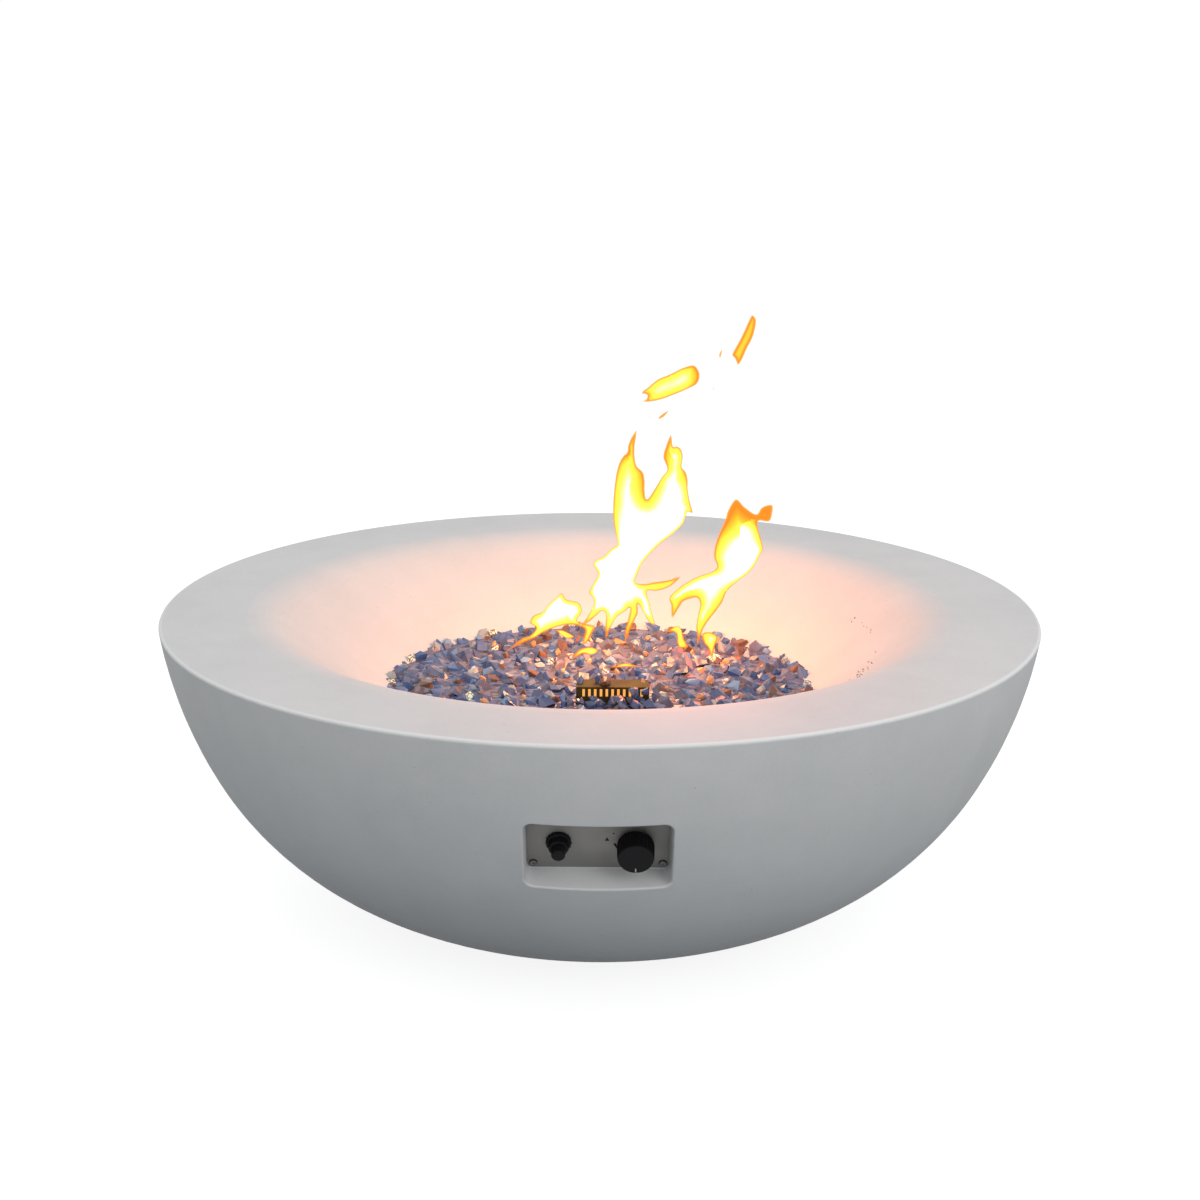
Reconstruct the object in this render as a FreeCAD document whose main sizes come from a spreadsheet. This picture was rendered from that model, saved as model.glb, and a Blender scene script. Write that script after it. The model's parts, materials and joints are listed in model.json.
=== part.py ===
import FreeCAD, Part
import math
import os
import Sketcher

# A round concrete gas fire bowl. Millimetres, +Z up, the controls face -Y, and the
# origin is on the ground under the middle of the bowl.
#
# Sizes holds the driving dimensions, Places what follows from them.

SIZES = [
    # the concrete bowl
    ("rim_radius", 533.4, "42 in bowl, outside edge of the rim"),
    ("bowl_height", 365, "concrete, from its underside to the rim"),
    ("base_radius", 220, "outside of the base ring"),
    ("base_opening_radius", 150, "hand and hose hole in the base"),
    ("base_thick", 30, "base ring"),
    ("wall_top_angle", 8, "wall off the vertical at the rim, degrees"),
    ("upper_turn", 19.8, "how far the upper bend turns, degrees"),
    ("upper_bend", 518.5, "radius of the wall's upper bend"),
    ("wall_thick", 20, "outer wall"),
    ("rim_width", 103.4, "flat of the rim"),
    ("rim_thick", 22, "rim and dish"),
    ("rim_round", 3, "arris of the rim"),
    ("lip_bend", 83, "radius of the lip into the dish"),
    ("dish_slope", 35, "dish below the horizontal, degrees"),
    ("dish_run", 172, "flat of the rim to the pan's ledge"),
    ("ledge_step", 4, "ledge below the foot of the dish"),
    ("ledge_thick", 22, "concrete under the ledge"),
    ("ledge_width", 26, "ledge that the pan hangs on"),
    ("notch_width", 30, "hose notch in the base ring"),
    ("notch_rise", 22, "hose notch above the ring's underside"),
    # the control recess and its plate
    ("panel_setback", 72.2, "rim's edge to the middle of the recess's back"),
    ("panel_drop", 123.5, "rim to the middle of the recess's back"),
    ("panel_tilt", 20, "plate turned towards the ground, degrees"),
    ("recess_width", 149, "at the back"),
    ("recess_height", 86, "at the back"),
    ("recess_corner", 9, "corner radius"),
    ("recess_draft", 3, "draft towards the mouth, degrees"),
    ("recess_wall", 18, "concrete round the recess"),
    ("recess_back", 18, "concrete behind the plate"),
    ("recess_round", 2, "arris of the recess's mouth"),
    ("window_width", 116, "hole behind the plate"),
    ("window_height", 56, "hole behind the plate"),
    ("window_corner", 5, "corner radius"),
    ("plate_side_gap", 1, "plate to the recess, each side"),
    ("plate_end_gap", 3, "plate to the recess, above and below"),
    ("plate_thick", 1.5, "stainless plate"),
    ("plate_corner", 6, "corner radius"),
    ("screw_inset", 6.3, "plate screws from the plate's edges"),
    ("screw_radius", 2, "plate screws"),
    ("screw_head_radius", 3.7, "plate screws"),
    ("screw_head_rise", 2, "plate screws"),
    ("screw_length", 13, "plate screws under the head"),
    ("screw_socket", 1.2, "plate screws, radius of the drive"),
    ("screw_play", 0.05, "screws in their holes"),
    ("control_drop", 4.5, "knob and button below the plate's middle"),
    ("knob_offset", 38.4, "knob to the right of the middle"),
    ("igniter_offset", 40.9, "button to the left of the middle"),
    # the gas valve and its knob
    ("valve_radius", 17, "valve body"),
    ("valve_length", 46, "valve body behind the plate"),
    ("nose_radius", 9, "threaded nose"),
    ("nose_bore", 6.2, "radius inside the nose"),
    ("nose_proud", 1.5, "nose past its nut"),
    ("nut_thick", 4, "nuts on the nose and the burner line"),
    ("valve_nut_flats", 22, "across the flats"),
    ("hole_play", 0.3, "noses in the plate's holes"),
    ("thread_play", 0.05, "nuts on their threads, radial"),
    ("plug_radius", 9, "turning plug in the valve"),
    ("plug_play", 0.05, "plug in its chamber, radial"),
    ("plug_end_gap", 0.3, "plug in its chamber, endways"),
    ("plug_depth", 14, "plate's back to the chamber"),
    ("plug_room", 24, "length of the chamber"),
    ("port_depth", 30, "plate's back to the gas ports' axis"),
    ("port_bore", 3, "gas ports, radius"),
    ("stub_radius", 6.3, "flare stubs"),
    ("stub_length", 14, "flare stubs"),
    ("spindle_radius", 3, "spindle"),
    ("spindle_play", 0.06, "spindle in the plug and the knob, radial"),
    ("spindle_depth", 28, "inner end of the spindle"),
    ("spindle_tip", 24, "outer end of the spindle"),
    ("spindle_flat", 2.2, "axis to the flat on the spindle"),
    ("collar_radius", 5.6, "collar on the spindle"),
    ("collar_thick", 1.5, "collar on the spindle"),
    ("spring_wire", 0.45, "radius of the spring wires"),
    ("spring_coils", 5, "turns of each spring"),
    ("valve_spring_radius", 4.6, "middle of the wire"),
    ("valve_spring_length", 10, "at rest"),
    ("magnet_flats", 16, "magnet unit, across the flats"),
    ("magnet_length", 14, "magnet unit behind the valve"),
    ("magnet_thread", 5.9, "radius of its thread"),
    ("knob_radius", 19, "at the skirt"),
    ("knob_front_radius", 18.3, "at the front"),
    ("knob_length", 22.5, "knob"),
    ("knob_push", 4, "travel of the knob"),
    ("knob_spare", 1.5, "skirt to the plate with the knob pushed in"),
    ("knob_round", 1.2, "front arris"),
    ("knob_room_radius", 15.5, "hollow behind the skirt"),
    ("knob_room_depth", 8, "hollow behind the skirt"),
    ("mark_length", 5, "pointer line"),
    ("mark_width", 1.3, "pointer line"),
    ("mark_depth", 0.3, "pointer line"),
    # the igniter
    ("igniter_radius", 11, "module"),
    ("igniter_length", 62, "module behind the plate"),
    ("igniter_nose_radius", 10, "nose"),
    ("igniter_nose_bore", 8.6, "nose"),
    ("collar_nut_radius", 12.8, "ring nut"),
    ("collar_nut_thick", 5, "ring nut"),
    ("cap_radius", 9.9, "battery cap"),
    ("cap_length", 8, "battery cap"),
    ("cap_lip", 4, "guide at the cap's front"),
    ("cap_room_radius", 8.5, "room for the button's flange"),
    ("button_radius", 7.2, "button"),
    ("button_play", 0.3, "button in the cap, radial"),
    ("button_dome", 2.5, "rounding of the button's end"),
    ("button_flange_radius", 8.1, "button's flange"),
    ("button_flange_thick", 2, "button's flange"),
    ("button_push", 5, "travel of the button"),
    ("button_spare", 6, "button outside its cap when pushed in"),
    ("button_spring_radius", 6, "middle of the wire"),
    ("battery_radius", 7.1, "AA cell"),
    ("battery_length", 50, "AA cell"),
    ("battery_play", 0.2, "cell in its chamber, radial"),
    ("battery_depth", 5, "plate's back to the cell"),
    # pan, burner and glass
    ("sheet", 1.5, "stainless sheet"),
    ("pan_flange_play", 2, "flange inside the ledge"),
    ("pan_wall_play", 4, "pan inside its hole"),
    ("pan_depth", 52, "pan under the ledge"),
    ("drain_radius", 5, "drain holes"),
    ("drain_inset", 33, "drain holes inside the pan's wall"),
    ("drain_count", 8, "drain holes"),
    ("ring_radius", 118, "burner ring"),
    ("tube_radius", 8, "burner tubes"),
    ("tube_wall", 1.2, "burner tubes"),
    ("foot_rise", 18, "burner above the pan's floor"),
    ("post_radius", 4, "burner feet"),
    ("foot_count", 4, "burner feet"),
    ("hub_radius", 18, "burner hub"),
    ("hub_half_height", 11, "burner hub"),
    ("hub_wall", 2, "burner hub"),
    ("port_radius", 1.2, "burner ports"),
    ("port_count", 30, "ports on the ring"),
    ("bar_port_pitch", 16, "ports on the crossbar"),
    ("nipple_radius", 10.5, "half inch pipe nipple"),
    ("nipple_bore", 7.5, "half inch pipe nipple"),
    ("nipple_nut_flats", 32, "lock nuts, across the flats"),
    ("nipple_nut_thick", 8, "lock nuts"),
    ("socket_depth", 14, "nipple in the air mixer"),
    ("mixer_radius", 15, "air mixer"),
    ("mixer_length", 70, "air mixer"),
    ("mixer_throat", 8, "air mixer, radius inside"),
    ("mixer_floor", 8, "air mixer's lower end"),
    ("air_hole_radius", 4.5, "air mixer"),
    ("air_hole_rise", 18, "above the mixer's lower end"),
    ("air_hole_count", 4, "air mixer"),
    ("jet_thread", 4.9, "gas jet in the mixer"),
    ("jet_bore", 0.9, "gas jet"),
    ("jet_flats", 16, "gas jet, across the flats"),
    ("jet_head", 6, "gas jet"),
    ("line_radius", 5, "burner gas line"),
    ("line_bend", 48, "bends of the burner gas line"),
    ("line_nut_flats", 18, "flare nuts, across the flats"),
    ("line_nut_length", 12, "flare nuts"),
    ("line_nut_gap", 1, "flare nut to the face behind its stub"),
    ("line_drop", 54, "straight ends of the burner line"),
    ("line_rise", 18, "middle of the burner line above its low end"),
    # the flame sensor and spark under a slotted hood
    ("hood_x", 16, "middle of the hood to the right"),
    ("hood_y", -64, "middle of the hood to the front"),
    ("hood_width", 88, "hood"),
    ("hood_depth", 32, "hood"),
    ("hood_height", 46, "hood"),
    ("hood_proud", 20.5, "hood above the glass"),
    ("hood_sheet", 1.2, "hood and bracket"),
    ("slot_width", 3, "slots in the hood"),
    ("slot_pitch", 7, "slots in the hood"),
    ("slot_rise", 10, "slots in the hood"),
    ("slot_band", 2.5, "hood above the slots"),
    ("bracket_width", 66, "bracket's foot"),
    ("bracket_foot", 22, "bracket's foot, front to back"),
    ("probe_offset", 15, "electrode and probe each side of the middle"),
    ("insulator_radius", 3.6, "ceramic of the electrode"),
    ("insulator_length", 34, "ceramic of the electrode"),
    ("electrode_radius", 1.1, "electrode's rod"),
    ("electrode_rise", 14, "rod above the ceramic"),
    ("probe_radius", 3, "flame sensor"),
    ("probe_length", 44, "flame sensor"),
    ("lead_hole_radius", 5, "holes for the leads"),
    ("bracket_screw_radius", 2, "bracket screws"),
    ("bracket_screw_span", 54, "bracket screws"),
    ("bracket_screw_head", 3.6, "bracket screws, radius of the head"),
    ("bracket_screw_length", 9, "bracket screws under the head"),
    ("spark_lead_radius", 1.6, "spark lead"),
    ("sensor_lead_radius", 1.1, "sensor's copper lead"),
    ("lead_bend", 16, "bends of the leads"),
    ("lead_drop", 22, "leads under the pan"),
    # the gas inlet
    ("inlet_x", 122, "inlet to the right of the middle"),
    ("inlet_thread", 7.94, "5/8 in flare thread, radius"),
    ("inlet_free", 18, "free thread"),
    ("bulkhead_thread", 8.4, "thread through the shelf"),
    ("bulkhead_length", 12, "thread through the shelf"),
    ("inlet_bore", 4, "inlet"),
    ("inlet_flats", 20, "inlet body, across the flats"),
    ("inlet_head", 8, "inlet body"),
    ("inlet_nut_flats", 24, "bulkhead nut, across the flats"),
    ("inlet_nut_thick", 6, "bulkhead nut"),
    ("inlet_stub", 12, "stub for the pipe"),
    ("shelf_rise", 50, "shelf above the base ring"),
    ("shelf_width", 44, "bracket"),
    ("shelf_sheet", 3, "bracket"),
    ("shelf_foot", 34, "bracket's foot on the ring"),
    ("leg_gap", 8, "bracket's leg outside the base opening"),
    ("anchor_radius", 3, "bracket's anchors"),
    ("anchor_length", 18, "bracket's anchors"),
    ("anchor_head", 4, "bracket's anchors"),
    ("anchor_head_radius", 5, "bracket's anchors"),
    ("pipe_radius", 4.8, "inlet pipe"),
    ("pipe_bend", 36, "bends of the inlet pipe"),
    ("pipe_rise", 48, "inlet pipe straight up from the inlet"),
    ("pipe_drop", 35, "inlet pipe under the pan"),
    # the fire glass and the feet
    ("bed_depth", 101.5, "rim to the glass between its large chips, at the dish"),
    ("bed_dip", 2, "glass lower in the middle"),
    ("glass_gap", 1, "glass to the burner and the hood"),
    ("chip_count", 110, "large chips on the bed"),
    ("chip_length", 28, "large chips"),
    ("chip_width", 21, "large chips"),
    ("chip_thick", 12, "large chips"),
    ("chip_taper", 4, "large chips, smaller all round at the top"),
    ("chip_sink", 1, "middle of a large chip below the top of the bed"),
    ("chip_lean", 17, "large chips, degrees"),
    ("chip_depth", 2.5, "large chips into the bed at the dish"),
    ("chip_play", 1, "large chips to the dish"),
    ("pad_height", 3, "rubber feet"),
    ("pad_radius", 15, "rubber feet"),
    ("pad_count", 6, "rubber feet"),
]

PLACES = [
    # outside of the wall: two arcs that run into each other
    ("rim_z", "Sizes.bowl_height + Sizes.pad_height"),
    ("turned", "Sizes.wall_top_angle + Sizes.upper_turn"),
    ("upper_centre_r", "Sizes.rim_radius - Sizes.upper_bend * cos(Sizes.wall_top_angle)"),
    ("upper_centre_z", "rim_z + Sizes.upper_bend * sin(Sizes.wall_top_angle)"),
    ("join_r", "upper_centre_r + Sizes.upper_bend * cos(turned)"),
    ("join_z", "upper_centre_z - Sizes.upper_bend * sin(turned)"),
    ("chord_r", "join_r - Sizes.base_radius"),
    ("chord_z", "join_z - Sizes.pad_height"),
    ("lower_bend", "(chord_r ^ 2 + chord_z ^ 2) / 2 / (chord_r * cos(turned) - chord_z * sin(turned))"),
    ("lower_centre_r", "join_r - lower_bend * cos(turned)"),
    ("lower_centre_z", "join_z + lower_bend * sin(turned)"),
    # inside of the wall: the same arcs, a wall smaller
    ("inner_upper", "Sizes.upper_bend - Sizes.wall_thick"),
    ("inner_lower", "lower_bend - Sizes.wall_thick"),
    ("under_rim_z", "rim_z - Sizes.rim_thick"),
    ("inner_top_r", "upper_centre_r + sqrt(inner_upper ^ 2 - (upper_centre_z - under_rim_z) ^ 2)"),
    ("inner_join_r", "upper_centre_r + inner_upper * cos(turned)"),
    ("inner_join_z", "upper_centre_z - inner_upper * sin(turned)"),
    ("base_top_z", "Sizes.pad_height + Sizes.base_thick"),
    ("inner_base_r", "lower_centre_r + sqrt(inner_lower ^ 2 - (lower_centre_z - base_top_z) ^ 2)"),
    # the dish, above and underneath
    ("lip_r", "Sizes.rim_radius - Sizes.rim_width"),
    ("ledge_radius", "lip_r - Sizes.dish_run"),
    ("pan_hole_radius", "ledge_radius - Sizes.ledge_width"),
    ("lip_end_r", "lip_r - Sizes.lip_bend * sin(Sizes.dish_slope)"),
    ("lip_end_z", "rim_z - Sizes.lip_bend * (1 - cos(Sizes.dish_slope))"),
    ("dish_foot_z", "lip_end_z - (lip_end_r - ledge_radius) * tan(Sizes.dish_slope)"),
    ("ledge_z", "dish_foot_z - Sizes.ledge_step"),
    ("under_lip_bend", "Sizes.lip_bend - Sizes.rim_thick"),
    ("under_lip_r", "lip_r - under_lip_bend * sin(Sizes.dish_slope)"),
    ("under_lip_z", "rim_z - Sizes.lip_bend + under_lip_bend * cos(Sizes.dish_slope)"),
    ("ledge_under_z", "ledge_z - Sizes.ledge_thick"),
    ("under_foot_r", "under_lip_r - (under_lip_z - ledge_under_z) / tan(Sizes.dish_slope)"),
    # the panel
    ("panel_reach", "Sizes.rim_radius - Sizes.panel_setback"),
    ("panel_z", "rim_z - Sizes.panel_drop"),
    ("plate_width", "Sizes.recess_width - 2 * Sizes.plate_side_gap"),
    ("plate_height", "Sizes.recess_height - 2 * Sizes.plate_end_gap"),
    ("screw_x", "plate_width / 2 - Sizes.screw_inset"),
    ("screw_y", "plate_height / 2 - Sizes.screw_inset"),
    ("nose_tip", "Sizes.plate_thick + Sizes.nut_thick + Sizes.nose_proud"),
    ("knob_back", "Sizes.plate_thick + Sizes.knob_push + Sizes.knob_spare"),
    ("knob_front", "knob_back + Sizes.knob_length"),
    ("chamber_floor", "Sizes.plug_depth + Sizes.plug_room"),
    ("plug_top", "Sizes.plug_depth + Sizes.plug_end_gap"),
    ("collar_z", "Sizes.valve_spring_length - plug_top"),
    ("valve_stub_end", "Sizes.valve_radius + Sizes.stub_length"),
    ("igniter_nose_tip", "Sizes.plate_thick + Sizes.collar_nut_thick"),
    ("cap_tip", "igniter_nose_tip + Sizes.cap_length"),
    ("button_tip", "cap_tip + Sizes.button_push + Sizes.button_spare"),
    ("button_flange_z", "cap_tip - Sizes.cap_lip - Sizes.button_flange_thick - Sizes.button_play"),
    ("button_spring_length", "button_flange_z + Sizes.battery_depth"),
    # pan and burner
    ("pan_under_z", "ledge_z - Sizes.pan_depth"),
    ("pan_floor_z", "pan_under_z + Sizes.sheet"),
    ("pan_flange_radius", "ledge_radius - Sizes.pan_flange_play"),
    ("pan_wall_radius", "pan_hole_radius - Sizes.pan_wall_play"),
    ("drain_ring", "pan_wall_radius - Sizes.drain_inset"),
    ("ring_z", "pan_floor_z + Sizes.foot_rise + Sizes.tube_radius"),
    ("tube_bore", "Sizes.tube_radius - Sizes.tube_wall"),
    ("nipple_end_z", "pan_under_z - Sizes.nipple_nut_thick - Sizes.socket_depth"),
    ("mixer_top_z", "pan_under_z - Sizes.nipple_nut_thick"),
    ("mixer_z", "mixer_top_z - Sizes.mixer_length"),
    ("jet_z", "mixer_z - Sizes.jet_head"),
    ("jet_end_z", "jet_z - Sizes.stub_length"),
    # hood, bracket and what stands in them
    ("bed_z", "rim_z - Sizes.bed_depth"),
    ("bed_r", "ledge_radius + (bed_z - dish_foot_z) / tan(Sizes.dish_slope)"),
    ("hood_top_z", "bed_z + Sizes.hood_proud"),
    ("hood_z", "hood_top_z - Sizes.hood_height"),
    ("shelf_z", "hood_z - Sizes.hood_sheet"),
    ("insulator_z", "shelf_z - Sizes.insulator_length / 2"),
    ("insulator_top_z", "insulator_z + Sizes.insulator_length"),
    ("probe_z", "shelf_z - Sizes.probe_length / 2"),
    # inlet
    ("leg_x", "Sizes.base_opening_radius + Sizes.leg_gap"),
    ("inlet_shelf_z", "base_top_z + Sizes.shelf_rise"),
    ("inlet_end_z", "inlet_shelf_z - Sizes.bulkhead_length - Sizes.inlet_free"),
    ("inlet_top_z", "inlet_shelf_z + Sizes.inlet_head + Sizes.inlet_stub"),
    ("chip_reach", "bed_r - 0.7 * Sizes.chip_length"),
    ("pad_ring", "(Sizes.base_radius + Sizes.base_opening_radius) / 2"),
]

doc = FreeCAD.newDocument("FireBowl")
sizes = doc.addObject("Spreadsheet::Sheet", "Sizes")
places = doc.addObject("Spreadsheet::Sheet", "Places")
for row, (alias, value, meaning) in enumerate(SIZES, 1):
    sizes.set(f"A{row}", alias)
    sizes.set(f"B{row}", str(value))
    sizes.setAlias(f"B{row}", alias)
    sizes.set(f"C{row}", meaning)
for row, (alias, formula) in enumerate(PLACES, 1):
    places.set(f"A{row}", alias)
    places.set(f"B{row}", "=" + formula)
    places.setAlias(f"B{row}", alias)
doc.recompute()

SIZE_NAMES = {alias for alias, value, meaning in SIZES}
PLACE_NAMES = {alias for alias, formula in PLACES}
Vector = FreeCAD.Vector
WHOLE_TURN = 360
BEYOND = 200  # a cut that runs past the piece
GOLDEN_ANGLE = 137.508  # spreads points evenly over a disc
parts = []


def qualified(text):
    """Put the sheet's name before each alias of an expression."""
    words = ""
    word = ""
    for letter in str(text) + " ":
        if letter.isalnum() or letter == "_":
            word += letter
            continue
        if word in SIZE_NAMES:
            word = "Sizes." + word
        elif word in PLACE_NAMES:
            word = "Places." + word
        words += word + letter
        word = ""
    return words.strip()


def number(text):
    """The value of an expression on the sheets."""
    value = sizes.evalExpression(qualified(text))
    return float(getattr(value, "Value", value))


def bind(thing, prop, text):
    thing.setExpression(prop, qualified(text))


# ---- sketches and features ----

def new_body(label):
    body = doc.addObject("PartDesign::Body", label)
    body.Label = label
    parts.append(body)
    return body


def origin_of(body, role):
    return [item for item in body.Origin.OriginFeatures if item.Role == role][0]


def new_sketch(body, name, role="XZ_Plane", height=None):
    """A sketch on one of the body's own planes, lifted by height along its normal."""
    sketch = body.newObject("Sketcher::SketchObject", body.Label + "_" + name)
    sketch.AttachmentSupport = [(origin_of(body, role), "")]
    sketch.MapMode = "FlatFace"
    if height is not None:
        bind(sketch, "AttachmentOffset.Base.z", height)
    return sketch


def hold_point(sketch, geometry, end, x, y):
    """Hold a point at x, y from the sketch's origin."""
    for kind, text in (("DistanceX", x), ("DistanceY", y)):
        held = sketch.addConstraint(Sketcher.Constraint(kind, -1, 1, geometry, end, number(text)))
        bind(sketch, f"Constraints[{held}]", text)


def arc_between(start, stop, radius, side):
    """The short arc from start to stop, its centre on the left (1) or the right (-1)."""
    chord = stop - start
    reach = math.sqrt(max(radius ** 2 - chord.Length ** 2 / 4, 0))
    left = Vector(-chord.y, chord.x, 0).normalize()
    centre = start + chord / 2 + left * side * reach
    first, last = (start, stop) if side > 0 else (stop, start)
    from_angle = math.atan2(first.y - centre.y, first.x - centre.x)
    to_angle = math.atan2(last.y - centre.y, last.x - centre.x)
    circle = Part.Circle(centre, Vector(0, 0, 1), radius)
    return Part.ArcOfCircle(circle, from_angle, to_angle)


def add_outline(sketch, corners):
    """A closed outline. A corner is (x, y), or (x, y, radius, side) at the end of an arc."""
    points = [Vector(number(corner[0]), number(corner[1]), 0) for corner in corners]
    ends = []
    for index, corner in enumerate(corners):
        start = points[index - 1]
        stop = points[index]
        if len(corner) == 2:
            geometry = sketch.addGeometry(Part.LineSegment(start, stop), False)
            ends.append((geometry, 1, 2))
            continue
        radius, side = corner[2:]
        geometry = sketch.addGeometry(arc_between(start, stop, number(radius), side), False)
        ends.append((geometry, 1, 2) if side > 0 else (geometry, 2, 1))
    for index, (geometry, first, last) in enumerate(ends):
        after, after_first, after_last = ends[(index + 1) % len(ends)]
        sketch.addConstraint(Sketcher.Constraint("Coincident", geometry, last, after, after_first))
        hold_point(sketch, geometry, last, *corners[index][:2])
        if len(corners[index]) > 2:
            radius = corners[index][2]
            held = sketch.addConstraint(Sketcher.Constraint("Radius", geometry, number(radius)))
            bind(sketch, f"Constraints[{held}]", radius)


def add_circle(sketch, x, y, radius):
    centre = Vector(number(x), number(y), 0)
    geometry = sketch.addGeometry(Part.Circle(centre, Vector(0, 0, 1), number(radius)), False)
    hold_point(sketch, geometry, 3, x, y)
    held = sketch.addConstraint(Sketcher.Constraint("Radius", geometry, number(radius)))
    bind(sketch, f"Constraints[{held}]", radius)


def box_corners(left, bottom, right, top):
    return [(left, bottom), (right, bottom), (right, top), (left, top)]


def rounded_corners(width, height, radius):
    """A rectangle about the origin with round corners."""
    w = f"({width}) / 2"
    h = f"({height}) / 2"
    return [
        (f"{w} - {radius}", f"-{h}"),
        (w, f"-{h} + {radius}", radius, 1),
        (w, f"{h} - {radius}"),
        (f"{w} - {radius}", h, radius, 1),
        (f"-{w} + {radius}", h),
        (f"-{w}", f"{h} - {radius}", radius, 1),
        (f"-{w}", f"-{h} + {radius}"),
        (f"-{w} + {radius}", f"-{h}", radius, 1),
    ]


def hexagon_corners(flats):
    """A hexagon about the origin, two of its flats level."""
    corners = []
    for index in range(6):
        angle = 60 * index
        corners.append((f"{flats} / sqrt(3) * cos({angle})", f"{flats} / sqrt(3) * sin({angle})"))
    return corners


def revolve(body, name, corners, cut=False):
    """Turn an outline of (radius, z) corners about the body's Z axis."""
    sketch = new_sketch(body, name)
    add_outline(sketch, corners)
    kind = "PartDesign::Groove" if cut else "PartDesign::Revolution"
    feature = body.newObject(kind, body.Label + "_" + name + "_turned")
    feature.Profile = sketch
    feature.ReferenceAxis = (sketch, ["V_Axis"])
    feature.Angle = WHOLE_TURN
    return feature


def extrude(body, sketch, length, cut=False, reverse=False, middle=False):
    kind = "PartDesign::Pocket" if cut else "PartDesign::Pad"
    feature = body.newObject(kind, sketch.Name + "_run")
    feature.Profile = sketch
    bind(feature, "Length", length)
    feature.Reversed = reverse
    if middle:
        feature.SideType = "Symmetric"
    return feature


def cut_checked(body, feature):
    """Stop if a cut has taken nothing away."""
    doc.recompute()
    if feature.Shape.Volume >= feature.BaseFeature.Shape.Volume - 1e-6:
        raise RuntimeError(f"{feature.Label} cuts nothing")
    body.Tip = feature
    return feature


def repeat_round(body, feature, count):
    """Copies of a feature about the body's Z axis."""
    pattern = body.newObject("PartDesign::PolarPattern", feature.Name + "_ring")
    pattern.Originals = [feature]
    pattern.Axis = (origin_of(body, "Z_Axis"), [""])
    pattern.Angle = WHOLE_TURN
    bind(pattern, "Occurrences", count)
    body.Tip = pattern
    return pattern


def drill(body, name, holes, height, depth, role="XY_Plane", reverse=False, middle=False):
    """Round holes (x, y, radius), cut from a plane at height. Down, unless reversed."""
    sketch = new_sketch(body, name, role, height)
    for x, y, radius in holes:
        add_circle(sketch, x, y, radius)
    return cut_checked(body, extrude(body, sketch, depth, cut=True, reverse=reverse, middle=middle))


def hex_nut(label, flats, low, high, bore):
    """A hexagon nut along the body's Z axis."""
    body = new_body(label)
    sketch = new_sketch(body, "nut", "XY_Plane", low)
    add_outline(sketch, hexagon_corners(flats))
    add_circle(sketch, "0", "0", bore)
    extrude(body, sketch, f"({high}) - ({low})")
    return body


# ---- places ----

def place(thing, x, y, z, axis=(0, 0, 1), angle="0"):
    thing.Placement = FreeCAD.Placement(Vector(), FreeCAD.Rotation(Vector(*axis), number(angle)))
    bind(thing, "Placement.Base.x", x)
    bind(thing, "Placement.Base.y", y)
    bind(thing, "Placement.Base.z", z)
    bind(thing, "Placement.Rotation.Angle", angle)


def panel_y(y, z):
    return f"-panel_reach - sin(panel_tilt) * ({y}) - cos(panel_tilt) * ({z})"


def panel_height(y, z):
    return f"panel_z + cos(panel_tilt) * ({y}) - sin(panel_tilt) * ({z})"


def seat_on_panel(thing, x="0", y="0", z="0"):
    """Stand a piece on the plate's back: its Z points out of the plate, its Y up the plate."""
    place(thing, x, panel_y(y, z), panel_height(y, z), (1, 0, 0), "90 + panel_tilt")


def panel_point(x, y, z):
    return Vector(number(x), number(panel_y(y, z)), number(panel_height(y, z)))


def tilt_sketch(sketch, z):
    """Lay a sketch on the panel's plane, z out of the plate's back."""
    sketch.AttachmentOffset = FreeCAD.Placement(Vector(), FreeCAD.Rotation(Vector(1, 0, 0), 90))
    bind(sketch, "AttachmentOffset.Base.y", panel_y("0", z))
    bind(sketch, "AttachmentOffset.Base.z", panel_height("0", z))
    bind(sketch, "AttachmentOffset.Rotation.Angle", "90 + panel_tilt")


# ---- the concrete bowl ----

def make_core():
    """The hollow of the bowl, with the block that the control recess needs left out."""
    core = doc.addObject("PartDesign::Body", "bowl_core")
    core.Label = "bowl_core"
    revolve(core, "hollow", [
        ("0", "-ledge_step"),
        ("base_opening_radius", "-ledge_step"),
        ("base_opening_radius", "base_top_z"),
        ("inner_base_r", "base_top_z"),
        ("inner_join_r", "inner_join_z", "inner_lower", 1),
        ("inner_top_r", "under_rim_z", "inner_upper", 1),
        ("lip_r", "under_rim_z"),
        ("under_lip_r", "under_lip_z", "under_lip_bend", 1),
        ("under_foot_r", "ledge_under_z"),
        ("pan_hole_radius", "ledge_under_z"),
        ("pan_hole_radius", "rim_z"),
        ("0", "rim_z"),
    ])
    block = new_sketch(core, "block", "XY_Plane")
    tilt_sketch(block, "-recess_back")
    add_outline(block, box_corners(
        "-recess_width / 2 - recess_wall", "-recess_height / 2 - recess_wall",
        "recess_width / 2 + recess_wall", "recess_height / 2 + recess_wall"))
    cut_checked(core, extrude(core, block, str(BEYOND), cut=True, reverse=True))
    return core


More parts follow.
